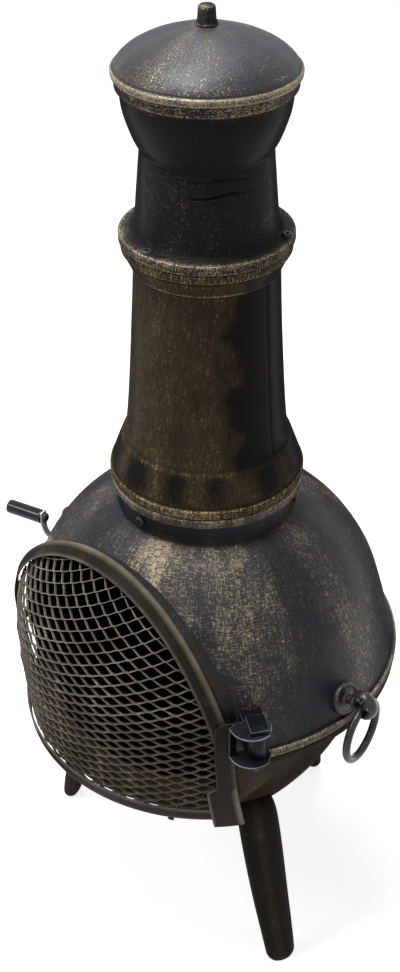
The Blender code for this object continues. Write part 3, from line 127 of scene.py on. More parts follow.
def unit(v):
    """Vectors scaled to a length of 1."""
    v = np.asarray(v, float)
    return v / np.maximum(np.linalg.norm(v, axis=-1, keepdims=True), 1e-12)


def curve(points, steps):
    """Catmull-Rom curve: each span blends its two ends and their neighbours by cubic weights."""
    p = np.asarray(points, float)
    padded = np.vstack([p[:1], p, p[-1:]])
    t = np.linspace(0.0, 1.0, steps, endpoint=False)[None, :, None]
    a, b, c, d = (padded[k:len(p) - 1 + k, None, :] for k in range(4))
    line = 0.5 * (2 * b + (c - a) * t + (2 * a - 5 * b + 4 * c - d) * t ** 2
                  + (3 * b - a - 3 * c + d) * t ** 3)
    return np.vstack([line.reshape(-1, p.shape[1]), p[-1:]])


def rounded(points, radius, steps):
    """Closed outline whose corners are replaced by quadratic arcs, from a radius before each
    corner to a radius after it."""
    p = np.asarray(points, float)
    before = np.roll(p, 1, axis=0) - p
    after = np.roll(p, -1, axis=0) - p
    reach = np.minimum(np.linalg.norm(before, axis=1), np.linalg.norm(after, axis=1)) * 0.48
    cut = np.minimum(radius, reach)[:, None]
    t = np.linspace(0.0, 1.0, steps)[None, :, None]
    a = (p + unit(before) * cut)[:, None]
    b = (p + unit(after) * cut)[:, None]
    line = ((1 - t) ** 2 * a + 2 * t * (1 - t) * p[:, None] + t ** 2 * b).reshape(-1, p.shape[1])
    gap = np.linalg.norm(np.diff(line, axis=0), axis=1)
    return line[np.concatenate([[True], gap > 1e-7])]


def spaced(points, gap, closed=False):
    """Points added along a line so that none are further apart than the gap."""
    p = np.asarray(points, float)
    ends = np.vstack([p, p[:1]]) if closed else p
    length = np.linalg.norm(np.diff(ends, axis=0), axis=1)
    counts = np.maximum(np.ceil(length / gap).astype(int), 1)
    start = np.repeat(np.arange(len(length)), counts)
    first = np.cumsum(counts) - counts
    share = (np.arange(counts.sum()) - np.repeat(first, counts)) / np.repeat(counts, counts)
    line = ends[start] + (ends[start + 1] - ends[start]) * share[:, None]
    return line if closed else np.vstack([line, p[-1:]])


def along(points):
    """Distance run along a line, from its first point."""
    return np.concatenate([[0.0], np.cumsum(np.linalg.norm(np.diff(points, axis=0), axis=1))])


def convexity(section):
    """How sharply a closed section turns outwards: 0 where flat, 1 on a tight outer edge and -1 in a
    tight hollow. It is the turn of the tangent between neighbours, over the distance between them."""
    p = np.asarray(section, float)
    before = unit(p - np.roll(p, 1, axis=0))
    after = unit(np.roll(p, -1, axis=0) - p)
    cross = before[:, 0] * after[:, 1] - before[:, 1] * after[:, 0]
    length = np.linalg.norm(np.roll(p, -1, axis=0) - np.roll(p, 1, axis=0), axis=1) / 2
    bend = -np.arcsin(np.clip(cross, -1, 1)) / np.maximum(length, 1e-6)
    place = along(p)
    near = np.exp(-((place[:, None] - place[None, :]) / 0.0014) ** 2)
    weight = near * length[None, :]
    soft = (weight * bend[None, :]).sum(1) / weight.sum(1)
    return np.clip(soft / 260.0, -1.0, 1.0)


# -------------------------------------------------------------- grids

def grid_faces(rows, columns, close_rows=False):
    """Quads between neighbouring points of a grid whose columns close into rings."""
    i = np.arange(rows if close_rows else rows - 1)[:, None]
    j = np.arange(columns)[None, :]
    i2, j2 = (i + 1) % rows, (j + 1) % columns
    quads = [i * columns + j, i * columns + j2, i2 * columns + j2, i2 * columns + j]
    return np.stack(quads, -1).reshape(-1, 4)


def bar_faces(rows, columns, base=0):
    """Faces of a closed profile carried along a line: its sides and a cap on both ends."""
    last = base + (rows - 1) * columns
    return [grid_faces(rows, columns) + base, [tuple(range(base, base + columns))[::-1]],
            [tuple(range(last, last + columns))]]


def shape(points, faces, wear, flow=None, finish=0, rub=0.5):
    """One surface of a piece: points, faces, how worn and how rubbed each point is, its place in
    the pattern, and the finish of its faces."""
    points = np.asarray(points, float).reshape(-1, 3)
    flow = points if flow is None else np.asarray(flow, float).reshape(-1, 3)
    wear, rub = (np.broadcast_to(np.ravel(value), len(points)) for value in (wear, rub))
    return {"points": points, "faces": faces, "wear": wear, "flow": flow, "finish": finish,
            "rub": rub}


def around(azimuth, radius, height):
    """Points at azimuths in degrees: x is radius times sine, y is minus radius times cosine."""
    angle = np.radians(azimuth)
    radius, height, angle = np.broadcast_arrays(radius, height, angle)
    return np.stack([radius * np.sin(angle), -radius * np.cos(angle), height], -1)


def turned(section, steps, pattern=None, rub=0.5, worn=1.0):
    """Section turned about Z; the pattern runs with the azimuth and the distance down the section."""
    section = np.asarray(section, float)
    azimuth = np.arange(steps) * 360.0 / steps
    points = around(azimuth, section[:, :1], section[:, 1:])
    middle = np.median(section[:, 0]) if pattern is None else pattern
    flow = around(azimuth, middle, along(section)[:, None])
    wear = np.repeat(convexity(section) * worn, steps)
    return shape(points, grid_faces(len(section), steps, True), wear, flow, rub=rub)


def placed(surface, origin, direction):
    """Surface moved so that its +Z lies along a direction and its origin at a place."""
    turn = np.array(Vector(direction).to_track_quat('Z', 'Y').to_matrix())
    return dict(surface, points=surface["points"] @ turn.T + np.asarray(origin, float))


def in_scene(name, data):
    """New object at the origin, unturned, with its place in its data."""
    thing = bpy.data.objects.new(name, data)
    bpy.context.scene.collection.objects.link(thing)
    return thing


def make(name, body, nodes, surfaces, finishes):
    """One object from its surfaces: merged, closed seams, faces outwards, riding on its body."""
    faces, finish = [], []
    base = 0
    for surface in surfaces:
        groups = surface["faces"] if isinstance(surface["faces"], list) else [surface["faces"]]
        looks = surface["finish"]
        looks = looks if isinstance(looks, list) else [looks] * len(groups)
        for group, look in zip(groups, looks):
            rows = (np.asarray(group) + base).tolist()
            faces += rows
            finish += [look] * len(rows)
        base += len(surface["points"])
    mesh = bpy.data.meshes.new(name)
    mesh.from_pydata(np.vstack([surface["points"] for surface in surfaces]).tolist(), [], faces)
    for label, kind, field in (("wear", 'FLOAT', "value"), ("flow", 'FLOAT_VECTOR', "vector"),
                               ("rub", 'FLOAT', "value")):
        values = np.concatenate([surface[label] for surface in surfaces]).ravel()
        mesh.attributes.new(label, kind, 'POINT').data.foreach_set(field, values)
    mesh.polygons.foreach_set("material_index", np.array(finish, np.int32))
    work = bmesh.new()
    work.from_mesh(mesh)
    bmesh.ops.remove_doubles(work, verts=work.verts, dist=2e-6)
    bmesh.ops.dissolve_degenerate(work, edges=work.edges, dist=1e-7)
    loose = [vert for vert in work.verts if not vert.link_faces]
    bmesh.ops.delete(work, geom=loose, context='VERTS')
    bmesh.ops.recalc_face_normals(work, faces=work.faces)
    work.to_mesh(mesh)
    work.free()
    mesh.shade_smooth()
    mesh.set_sharp_from_angle(angle=math.radians(SHARP_ANGLE))
    thing = in_scene(name, mesh)
    for look in finishes:
        mesh.materials.append(look)
    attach(thing, body)
    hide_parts(*nodes)
    return thing


# ------------------------------------------------------------ materials

def add(tree, kind, **settings):
    made = tree.nodes.new(kind)
    for name, value in settings.items():
        setattr(made, name, value)
    return made


def feed(tree, socket, value):
    """Give an input a number, a colour, or another node's output."""
    if isinstance(value, bpy.types.NodeSocket):
        tree.links.new(value, socket)
    elif isinstance(value, (tuple, list)) and len(value) == 3 and socket.type == 'RGBA':
        socket.default_value = (*value, 1.0)
    else:
        socket.default_value = value


def work_out(tree, operation, a, b, c=0.0, clamp=False):
    made = add(tree, 'ShaderNodeMath', operation=operation, use_clamp=clamp)
    for socket, value in zip(made.inputs, (a, b, c)):
        feed(tree, socket, value)
    return made.outputs[0]


def plus(tree, a, b):
    return work_out(tree, 'ADD', a, b)


def less(tree, a, b):
    return work_out(tree, 'SUBTRACT', a, b)


def times(tree, a, b):
    return work_out(tree, 'MULTIPLY', a, b)


def noise(tree, vector, scale, detail, roughness):
    """Noise texture; a scale of three numbers stretches the pattern first."""
    if isinstance(scale, tuple):
        stretched = add(tree, 'ShaderNodeVectorMath', operation='MULTIPLY')
        feed(tree, stretched.inputs[0], vector)
        stretched.inputs[1].default_value = scale
        vector, scale = stretched.outputs[0], 1.0
    made = add(tree, 'ShaderNodeTexNoise')
    for label, value in (("Vector", vector), ("Scale", scale), ("Detail", detail),
                         ("Roughness", roughness)):
        feed(tree, made.inputs[label], value)
    return made.outputs["Fac"]


def step(tree, value, low, high):
    """Smooth rise from 0 at low to 1 at high."""
    made = add(tree, 'ShaderNodeMapRange', interpolation_type='SMOOTHSTEP')
    feed(tree, made.inputs["Value"], value)
    feed(tree, made.inputs["From Min"], low)
    feed(tree, made.inputs["From Max"], high)
    return made.outputs["Result"]


def blend(tree, share, first, second):
    """Colour from the first, at a share of 0, to the second, at 1."""
    made = add(tree, 'ShaderNodeMix', data_type='RGBA')
    feed(tree, made.inputs["Factor"], share)
    feed(tree, made.inputs["A"], first)
    feed(tree, made.inputs["B"], second)
    return made.outputs["Result"]


def new_group(name, inputs, outputs):
    """Node group with named sockets; an input's first value is a colour, a number, or None for a
    vector."""
    tree = bpy.data.node_groups.new(name, 'ShaderNodeTree')
    for label, value in inputs.items():
        kind = {tuple: 'Color', float: 'Float'}.get(type(value), 'Vector')
        socket = tree.interface.new_socket(label, in_out='INPUT', socket_type='NodeSocket' + kind)
        if value is not None:
            socket.default_value = (*value, 1.0) if kind == 'Color' else value
    for label in outputs:
        kind = 'Color' if label == "Color" else 'Float'
        tree.interface.new_socket(label, in_out='OUTPUT', socket_type='NodeSocket' + kind)
    take, give = tree.nodes.new('NodeGroupInput'), tree.nodes.new('NodeGroupOutput')
    return tree, [take.outputs[label] for label in inputs], give


def rubbed_bronze():
    """Gold and brown rubbed over black iron: fine strokes along and across the casting stand above
    a soft threshold, which falls where the piece is rubbed, clouded or worn. A paler tone round the
    crests of the fine relief is part rubbed metal and part painted sheen."""
    tree, taken, give = new_group("Rubbed bronze", {
        "Flow": None, "Wear": 0.0, "Rub": 0.5,
        "Iron": (0.010, 0.011, 0.014), "Bronze": (0.050, 0.033, 0.018),
        "Crest": (0.055, 0.058, 0.066), "Gold": (0.40, 0.30, 0.17),
        "Lengthways": 0.5, "Crossways": 0.5, "Haze": 0.5, "Threshold": 0.56},
        ("Color", "Roughness", "Metallic", "Height"))
    flow, wear, rub, iron, bronze, crest_and_sheen_tone, gold_tone, length_share, cross_share = taken[:9]
    haze_share, threshold = taken[9:]
    lengthways = noise(tree, flow, (820.0, 820.0, 120.0), 3.0, 0.68)
    crossways = noise(tree, flow, (150.0, 150.0, 960.0), 3.0, 0.68)
    grain = noise(tree, flow, 980.0, 2.0, 0.6)
    broad = noise(tree, flow, (36.0, 36.0, 8.0), 3.0, 0.6)
    cloud = noise(tree, flow, 24.0, 3.0, 0.6)
    weave = work_out(tree, 'MULTIPLY_ADD', crossways, cross_share,
                     times(tree, lengthways, length_share))
    left = less(tree, 1.0, plus(tree, length_share, cross_share))
    height = plus(tree, weave, times(tree, grain, left))
    patch = plus(tree, times(tree, broad, 0.6), times(tree, cloud, 0.4))
    rubbed = less(tree, rub, 0.5)
    local = plus(tree, times(tree, less(tree, patch, 0.5), 0.36), times(tree, rubbed, 0.17))
    worn = times(tree, work_out(tree, 'MAXIMUM', wear, 0.0), 0.13)
    above = less(tree, height, less(tree, threshold, plus(tree, local, worn)))
    gold = times(tree, step(tree, above, 0.0, 0.13), 0.85)
    # Paler tone on the crests of the relief: part rubbed metal, part painted sheen.
    crest_and_sheen = times(tree, step(tree, above, -0.09, 0.06), 0.85)
    hazy = plus(tree, local, times(tree, less(tree, height, 0.5), 0.5))
    hazy = plus(tree, hazy, times(tree, rubbed, 0.10))
    haze = work_out(tree, 'MULTIPLY', step(tree, hazy, -0.10, 0.10), haze_share, 0.0, True)
    haze = work_out(tree, 'MAXIMUM', haze, times(tree, wear, 0.8))
    colour = blend(tree, haze, iron, bronze)
    colour = blend(tree, crest_and_sheen, colour, crest_and_sheen_tone)
    colour = blend(tree, gold, colour, gold_tone)
    hollow = step(tree, times(tree, wear, -1.0), 0.1, 0.8)
    colour = blend(tree, times(tree, hollow, 0.6), colour, (0.004, 0.004, 0.004))
    smooth = work_out(tree, 'MULTIPLY_ADD', gold, 0.06, 0.36)
    feed(tree, give.inputs["Color"], colour)
    feed(tree, give.inputs["Roughness"], plus(tree, smooth, times(tree, grain, 0.10)))
    feed(tree, give.inputs["Metallic"], times(tree, gold, 0.5))
    feed(tree, give.inputs["Height"], height)
    return tree


def scuffs():
    """Fine dust and scratches on a painted sheet: a paler tone on its edges and in thin streaks. On
    the door's bands and mesh the paler edges are partly a painted highlight.
    """
    tree, taken, give = new_group("Scuffs", {
        "Flow": None, "Wear": 0.0, "Paint": (0.03, 0.025, 0.02), "Edge": (0.20, 0.16, 0.11),
        "Amount": 0.5}, ("Color", "Roughness", "Height"))
    flow, wear, paint_tone, edge_tone, amount = taken
    streak = noise(tree, flow, (260.0, 260.0, 40.0), 3.0, 0.6)
    grain = noise(tree, flow, 900.0, 2.0, 0.6)
    cloud = noise(tree, flow, 34.0, 3.0, 0.6)
    edge = times(tree, wear, work_out(tree, 'MULTIPLY_ADD', cloud, 1.5, -0.1))
    mark = step(tree, plus(tree, streak, times(tree, cloud, 0.6)), 0.86, 1.05)
    share = work_out(tree, 'ADD', edge, times(tree, mark, amount), 0.0, True)
    paint = add(tree, 'ShaderNodeVectorMath', operation='SCALE')
    feed(tree, paint.inputs[0], paint_tone)
    feed(tree, paint.inputs["Scale"], work_out(tree, 'MULTIPLY_ADD', cloud, 0.9, 0.55))
    feed(tree, give.inputs["Color"], blend(tree, share, paint.outputs[0], edge_tone))
    feed(tree, give.inputs["Roughness"], plus(tree, times(tree, grain, 0.2),
                                              times(tree, cloud, 0.2)))
    feed(tree, give.inputs["Height"], plus(tree, grain, streak))
    return tree


BRONZE = rubbed_bronze()
SCUFFS = scuffs()


def surface(name, group, values, specular, bump, extra, depth=0.0006, dull=0.95):
    """Material of one finish: the shared group reads the piece's flow, wear and rub, and extra is
    added to its roughness. Rough iron is duller still where it turns away from the eye, up to the
    roughness given as dull."""
    made = bpy.data.materials.new(name)
    made.use_nodes = True
    tree = made.node_tree
    shader = tree.nodes["Principled BSDF"]
    shader.inputs["Specular IOR Level"].default_value = specular
    effect = add(tree, 'ShaderNodeGroup', node_tree=group)
    for label in ("flow", "wear", "rub"):
        if label.title() in effect.inputs:
            source = add(tree, 'ShaderNodeAttribute', attribute_name=label)
            out = source.outputs["Vector" if label == "flow" else "Fac"]
            tree.links.new(out, effect.inputs[label.title()])
    for label, value in values.items():
        feed(tree, effect.inputs[label], value)
    rough = plus(tree, effect.outputs["Roughness"], extra)
    if dull:
        turned_away = add(tree, 'ShaderNodeLayerWeight')
        turned_away.inputs["Blend"].default_value = 0.5
        share = step(tree, turned_away.outputs["Facing"], 0.30, 0.85)
        rough = work_out(tree, 'MAXIMUM', rough, times(tree, share, dull))
    relief = add(tree, 'ShaderNodeBump')
    relief.inputs["Strength"].default_value = bump
    relief.inputs["Distance"].default_value = depth
    tree.links.new(effect.outputs["Height"], relief.inputs["Height"])
    tree.links.new(effect.outputs["Color"], shader.inputs["Base Color"])
    tree.links.new(rough, shader.inputs["Roughness"])
    if "Metallic" in effect.outputs:
        tree.links.new(effect.outputs["Metallic"], shader.inputs["Metallic"])
    tree.links.new(relief.outputs["Normal"], shader.inputs["Normal"])
    return made


def cast_iron(name, strokes, haze, threshold, tones, **shine):
    """Rubbed bronze with its shares of strokes along and across, and the tones that differ."""
    values = {"Lengthways": strokes[0], "Crossways": strokes[1], "Haze": haze,
              "Threshold": threshold}
    return surface(name, BRONZE, dict(values, **tones), **shine)


def painted(name, paint, edge, amount, **shine):
    """Scuffed paint, plastic or plain metal with its tone, the tone of its edges and its streaks."""
    return surface(name, SCUFFS, {"Paint": paint, "Edge": edge, "Amount": amount}, **shine)


def bowl_finish():
    # The crest tone here is a bluish-grey painted sheen on the relief.
    tones = {"Iron": (0.0055, 0.0063, 0.0080), "Crest": (0.040, 0.043, 0.048)}
    return cast_iron("bowl_casting", (0.34, 0.36), 0.40, 0.55, tones,
                     specular=0.17, bump=0.8, extra=-0.08, depth=0.0014)


def under_finish():
    tones = {"Iron": (0.012, 0.009, 0.0065), "Bronze": (0.034, 0.023, 0.013),
             "Crest": (0.055, 0.038, 0.022)}
    return cast_iron("under_bowl_casting", (0.25, 0.35), 0.95, 0.64, tones,
                     specular=0.04, bump=0.4, extra=0.16)


def tube_finish():
    tones = {"Iron": (0.0055, 0.005, 0.0045), "Bronze": (0.040, 0.027, 0.014),
             "Crest": (0.080, 0.054, 0.028)}
    return cast_iron("chimney_casting", (0.42, 0.18), 1.0, 0.615, tones,
                     specular=0.04, bump=0.6, extra=0.14, depth=0.0012)


def cup_finish():
    # The crest tone here is a bluish-grey painted sheen on the relief.
    tones = {"Iron": (0.0050, 0.0052, 0.0060), "Bronze": (0.024, 0.018, 0.011),
             "Crest": (0.040, 0.042, 0.047)}
    return cast_iron("upper_chimney_casting", (0.20, 0.25), 0.35, 0.60, tones,
                     specular=0.06, bump=0.6, extra=0.08, depth=0.0012)


def lid_finish():
    tones = {"Iron": (0.012, 0.014, 0.018), "Crest": (0.055, 0.052, 0.048),
             "Gold": (0.36, 0.28, 0.165)}
    return cast_iron("lid_casting", (0.14, 0.14), 0.5, 0.585, tones,
                     specular=0.30, bump=0.5, extra=-0.02, depth=0.0008, dull=0.6)


def leg_finish():
    tones = {"Iron": (0.008, 0.0065, 0.0055), "Bronze": (0.032, 0.023, 0.014),
             "Crest": (0.075, 0.057, 0.037)}
    return cast_iron("leg_casting", (0.40, 0.20), 0.9, 0.645, tones,
                     specular=0.05, bump=0.4, extra=0.1)


def ring_finish():
    tones = {"Iron": (0.008, 0.008, 0.008), "Bronze": (0.030, 0.027, 0.021),
             "Crest": (0.060, 0.056, 0.048), "Gold": (0.30, 0.27, 0.22)}
    return cast_iron("ring_casting", (0.30, 0.30), 0.6, 0.62, tones,
                     specular=0.34, bump=0.35, extra=-0.14, dull=0.0)


def soot_finish():
    return painted("soot", (0.006, 0.005, 0.004), (0.02, 0.016, 0.011), 0.4,
                   specular=0.03, bump=0.6, extra=0.6, depth=0.001)


def sheet_finish():
    return painted("door_sheet", (0.014, 0.0115, 0.008), (0.30, 0.24, 0.17), 0.05,
                   specular=0.06, bump=0.15, extra=0.26)


def mesh_finish():
    return painted("door_mesh_steel", (0.056, 0.047, 0.035), (0.44, 0.38, 0.29), 0.30,
                   specular=0.07, bump=0.15, extra=0.26)


def black_finish():
    return painted("black_steel", (0.002, 0.0025, 0.0035), (0.36, 0.38, 0.40), 0.0,
                   specular=0.09, bump=0.10, extra=0.04)


def screw_finish():
    return painted("black_screws", (0.006, 0.006, 0.007), (0.05, 0.05, 0.055), 0.2,
                   specular=0.22, bump=0.12, extra=0.12, dull=0.0)


def zinc_finish():
    return painted("zinc_screw", (0.28, 0.28, 0.28), (0.45, 0.45, 0.44), 0.3,
                   specular=0.6, bump=0.12, extra=0.2, dull=0.0)


def strip_finish():
    return painted("handle_steel", (0.26, 0.24, 0.20), (0.75, 0.70, 0.62), 0.6,
                   specular=0.6, bump=0.15, extra=0.12, dull=0.0)


def grip_finish():
    return painted("handle_plastic", (0.003, 0.004, 0.006), (0.02, 0.022, 0.025), 0.2,
                   specular=0.30, bump=0.05, extra=0.0, dull=0.0)


# ------------------------------------------------------- bowl sections

def inset(section, distance):
    """Section moved sideways, towards the axis where it runs down."""
    p = np.asarray(section, float)
    ahead = unit(np.gradient(p, axis=0))
    return p + np.stack([ahead[:, 1], -ahead[:, 0]], -1) * distance


def edge(radius, top, bottom, rounding=0.002):
    """Outer edge of a flange, from its top face to its bottom face, with quarter-round corners."""
    turn = np.radians(np.linspace(90.0, 0.0, 6))
    upper = np.stack([radius - rounding + rounding * np.cos(turn),
                      top - rounding + rounding * np.sin(turn)], -1)
    lower = np.stack([upper[::-1, 0], bottom + rounding - rounding * np.sin(turn[::-1])], -1)
    return np.vstack([upper, lower])


def upright(radius, beside):
    """Straight wall at one radius, level with each point of another section."""
    return np.stack([np.full(len(beside), radius), np.asarray(beside)[:, 1]], -1)


def dome_line():
    """Smooth curve through shares of the way out from the neck and down to the rim."""
    form = np.array([(0.0, 0.0), (0.200, 0.060), (0.366, 0.149), (0.564, 0.285), (0.756, 0.483),
                     (0.879, 0.715), (1.0, 1.0)])
    reach = RIM_RADIUS - 0.004 - NECK_RADIUS
    drop = NECK_FOOT - RIM_TOP
    return curve(np.stack([NECK_RADIUS + reach * form[:, 0], NECK_FOOT - drop * form[:, 1]], -1), 9)


def bowl_line():
    """Radius falls as a cosine; the drop is a superellipse of exponent 1.5 in the radius."""
    turn = np.linspace(0.0, math.pi / 2.0, 60)
    radius = BASE_RADIUS + (BOWL_RADIUS - BASE_RADIUS) * np.cos(turn)
    share = np.clip(1.0 - (radius / BOWL_RADIUS) ** 1.5, 0.0, 1.0)
    return np.stack([radius, RIM_FOOT - BOWL_DEPTH * share ** (1.0 / 1.5)], -1)


def radius_at(line, height):
    """Radius of a downward line at a height."""
    return np.interp(height, line[::-1, 1], line[::-1, 0])


def height_at(line, radius):
    """Height of a line at a radius, and its outward direction there."""
    order = np.argsort(line[:, 0])
    height = np.interp(radius, line[order, 0], line[order, 1])
    ahead = unit(np.gradient(line, axis=0))
    out = np.stack([-ahead[:, 1], ahead[:, 0]], -1)
    direction = [np.interp(radius, line[order, 0], out[order, k]) for k in (0, 1)]
    return float(height), unit(direction)


def opening(height, sill, corner):
    """Half the width of the arched mouth, along the middle of its lip: a circle above the centre,
    upright sides and round lower corners."""
    height = np.asarray(height, float)
    above = np.sqrt(np.clip(LIP_MIDDLE ** 2 - (height - MOUTH_CENTRE) ** 2, 0.0, None))
    below = np.clip(sill + corner - height, 0.0, corner)
    sides = LIP_MIDDLE - corner + np.sqrt(np.clip(corner ** 2 - below ** 2, 0.0, None))
    return np.where(height > MOUTH_CENTRE, above, np.where(height > sill - 1e-9, sides, 0.0))


def dish(height):
    """Radius of the door's face at a height: half an ellipse above the belly, another below."""
    reach = np.where(height > BELLY, DISH_RISE, DISH_FALL)
    return DISH_RADIUS * np.sqrt(np.clip(1.0 - ((height - BELLY) / reach) ** 2, 0.0, 1.0))


def dish_slope(height):
    """Upward part of the face's outward direction for each unit of its radial part."""
    reach = np.where(height > BELLY, DISH_RISE, DISH_FALL)
    return (height - BELLY) * (DISH_RADIUS / reach) ** 2 / dish(height)


def behind_dish(height, depth):
    """Radius of a point set in by a depth from the door's face, square to the face."""
    return dish(height) - depth * np.sqrt(1.0 + dish_slope(height) ** 2)


def on_dish(x, height, depth):
    """Point of the door's face seen from the front at x and height, set in by a depth."""
    x, radius, height = np.broadcast_arrays(x, behind_dish(height, depth), height)
    return np.stack([x, -np.sqrt(np.clip(radius ** 2 - x ** 2, 0.0, None)), height], -1)


# ----------------------------------------------------- ways round a casting

def turn_from(azimuth, middle=0.0):
    """Signed turn from a middle azimuth, -180 to 180 degrees."""
    return (azimuth - middle + 180.0) % 360.0 - 180.0


def fade(value, width):
    """1 well below zero and 0 well above it: a logistic curve of a given width."""
    return 1.0 / (1.0 + np.exp(value / width))


def brushed(azimuth, middles, width, low, high):
    """Rub amount: low between the brush's passes and high on each middle azimuth, a bell round it."""
    turn = turn_from(azimuth[..., None], np.asarray(middles, float))
    return low + (high - low) * np.exp(-(turn / width) ** 2).sum(-1)


def unevenness(azimuth, height, size):
    """Slow hollows of a sand casting, 0 to size deep: three crossing waves round and down it."""
    a = np.radians(azimuth)
    wave = (np.sin(3 * a + 17 * height + 1.0) + np.sin(7 * a - 41 * height)
            + np.sin(11 * a + 63 * height + 2.0))
    return size * (0.5 - wave / 6.0)


def notched(radius, azimuth, inner):
    """The rim steps in to an inner radius where the door passes in front of it."""
    share = np.clip((np.abs(turn_from(azimuth)) - NOTCH_END) / 0.8, 0.0, 1.0)
    return np.minimum(radius, inner + (np.maximum(radius, inner) - inner) * share)


def columns_of(open_at, back, front=0):
    """Azimuths of each row: evenly round the back from the mouth's edge, then across the front."""
    share = np.linspace(0.0, 1.0, back)[None]
    azimuth = open_at[:, None] + (360.0 - 2.0 * open_at[:, None]) * share
    if front:
        across = np.linspace(-1.0, 1.0, front + 2)[None, 1:-1]
        azimuth = np.hstack([azimuth, 360.0 + open_at[:, None] * across])
    return azimuth


# ------------------------------------------------------------- castings

def casting(outer, inner, azimuth, rub, pattern, gap=None, front=0, notch=None, size=0.0005,
            dent=None):
    """Two walls swept round the axis: each row of the section has its own azimuths. Faces of the
    front columns are left out where the mouth's gap is, and the gap's sides are closed."""
    section = np.vstack([outer, inner[::-1]])
    height = section[:, 1:]
    rows, columns = azimuth.shape
    skin = np.arange(rows)[:, None] < len(outer)
    radius = section[:, :1] - unevenness(azimuth, height, size) * np.where(skin, 1.0, -0.2)
    if notch is not None:
        radius = notched(radius, azimuth, notch)
    if dent is not None:
        radius = radius - dent(azimuth, height) * skin
    faces = grid_faces(rows, columns, True).reshape(rows, columns, 4)
    keep = np.ones((rows, columns), bool)
    caps = []
    if gap is not None:
        shut = gap | np.roll(gap, -1)
        first = columns - front - 1
        keep[np.ix_(shut, np.arange(first, columns))] = False
        i = np.arange(len(outer) - 1)
        i = i[(gap[i] | gap[i + 1])]
        other = rows - 1 - i
        for column in (0, first):
            caps.append(np.stack([i, i + 1, other - 1, other], -1) * columns + column)
        if front:
            last = int(i.max()) + 1
            j = np.arange(first, columns)
            across = (j + 1) % columns
            low = (rows - 1 - last) * columns
            caps.append(np.stack([last * columns + j, last * columns + across, low + across,
                                  low + j], -1))
    outside = np.arange(rows)[:, None] < len(outer) - 1
    walls = [faces[keep & outside], faces[keep & ~outside]]
    return shape(around(azimuth, radius, height), walls + caps,
                 np.repeat(convexity(section), columns),
                 around(azimuth, pattern, along(section)[:, None]), [0] + [1] * (len(caps) + 1),
                 np.broadcast_to(rub(azimuth, height), azimuth.shape))


def arch_over(radius, centre, foot):
    """Right foot, half circle over the centre, left foot, seen from the front."""
    turn = np.radians(np.linspace(0.0, 180.0, 120))
    arc = np.stack([radius * np.cos(turn), centre + radius * np.sin(turn)], -1)
    return np.vstack([[(radius, foot)], arc, [(-radius, foot)]])


def arch_under(radius, top, sill, corner):
    """Down the left side, round a corner, along the sill, and up the right side."""
    turn = np.radians(np.linspace(180.0, 270.0, 10))
    bend = np.stack([corner - radius + corner * np.cos(turn), sill + corner + corner * np.sin(turn)],
                    -1)
    side = np.stack([np.full(12, -radius), np.linspace(top, sill + corner + 0.001, 12)], -1)
    left = np.vstack([side, bend])
    base = np.stack([np.linspace(corner - radius, radius - corner, 62)[1:-1], np.full(60, sill)], -1)
    return np.vstack([left, base, (left * (-1.0, 1.0))[::-1]])


def lip(outer, inner, wall, rub, forward=0.0):
    """Cast lip: a bar between two arches in front view, from inside the wall to a setback from the
    door's face. At the sill it comes nearer by the forward distance, which fades out 30 mm higher.
    The profile's first place runs across the lip's thickness, the second from front to root."""
    profile = rounded([(0.0, 0.0), (1.0, 0.0), (1.0, 1.0), (0.0, 1.0)], 0.3, 5)
    depth = np.where(profile[:, 1] < 0.5, profile[:, 1] * 0.30, 1.0)[None]
    spot = outer[:, None] + (inner - outer)[:, None] * profile[None, :, :1]
    x, z = spot[..., 0], spot[..., 1]
    root = radius_at(wall, z) - CAST_WALL * 0.85
    setback = LIP_SETBACK - forward * np.clip(1.0 - (z - SILL) / 0.030, 0.0, 1.0)
    front = np.sqrt(np.clip((dish(z) - setback) ** 2 - x ** 2, 0.0, None))
    back = np.minimum(np.sqrt(np.clip(root ** 2 - x ** 2, 0.0, None)), front - 0.0005)
    y = front + (back - front) * depth
    wear = np.broadcast_to(np.where(depth < 0.1, 0.25, 0.0), x.shape)
    run = along(outer)[:, None] + 0.0 * x
    return shape(np.stack([x, -y, z], -1), bar_faces(len(outer), len(profile)), wear,
                 np.stack([x, y, run], -1), rub=rub)


def slab(outline, low, high, rounding, wear=1.0, finish=0):
    """Flat plate between two heights; its rows run up the side with quarter-round edges."""
    outline = spaced(outline, 0.004, True)
    ahead = unit(np.roll(outline, -1, axis=0) - np.roll(outline, 1, axis=0))
    out = np.stack([ahead[:, 1], -ahead[:, 0]], -1)
    turn = np.radians(np.linspace(0.0, 90.0, 4))
    deep = rounding * (1.0 - np.sin(turn))
    rise = rounding * (1.0 - np.cos(turn))
    depth = np.concatenate([deep, deep[::-1]])
    height = np.concatenate([low + rise, (high - rise)[::-1]])
    flat = outline[None] - out[None] * depth[:, None, None]
    points = np.dstack([flat, np.broadcast_to(height[:, None], flat.shape[:2])])
    worn = np.where((depth > 0) & (depth < rounding), wear, wear * 0.05)
    return shape(points, bar_faces(len(depth), len(outline)), np.repeat(worn, len(outline)),
                 None, finish)


def hinge_lug():
    """Flat lug of the upper bowl, from inside its wall to a round nose about the hinge bolt."""
    pin = around(PIN_AZIMUTH, PIN_RADIUS, 0.0)[:2]
    out = pin / PIN_RADIUS
    side = np.array([-out[1], out[0]])
    turn = np.radians(np.linspace(-90.0, 90.0, 17) + PIN_AZIMUTH - 90.0)
    nose = pin + 0.0085 * np.stack([np.cos(turn), np.sin(turn)], -1)
    root = out * 0.158
    outline = np.vstack([nose, [root + side * 0.0106], [root - side * 0.0106]])
    return slab(outline, EAR_LOW + EAR_SHEET + GAP, EAR_HIGH - GAP, 0.0008, 0.2, 2)


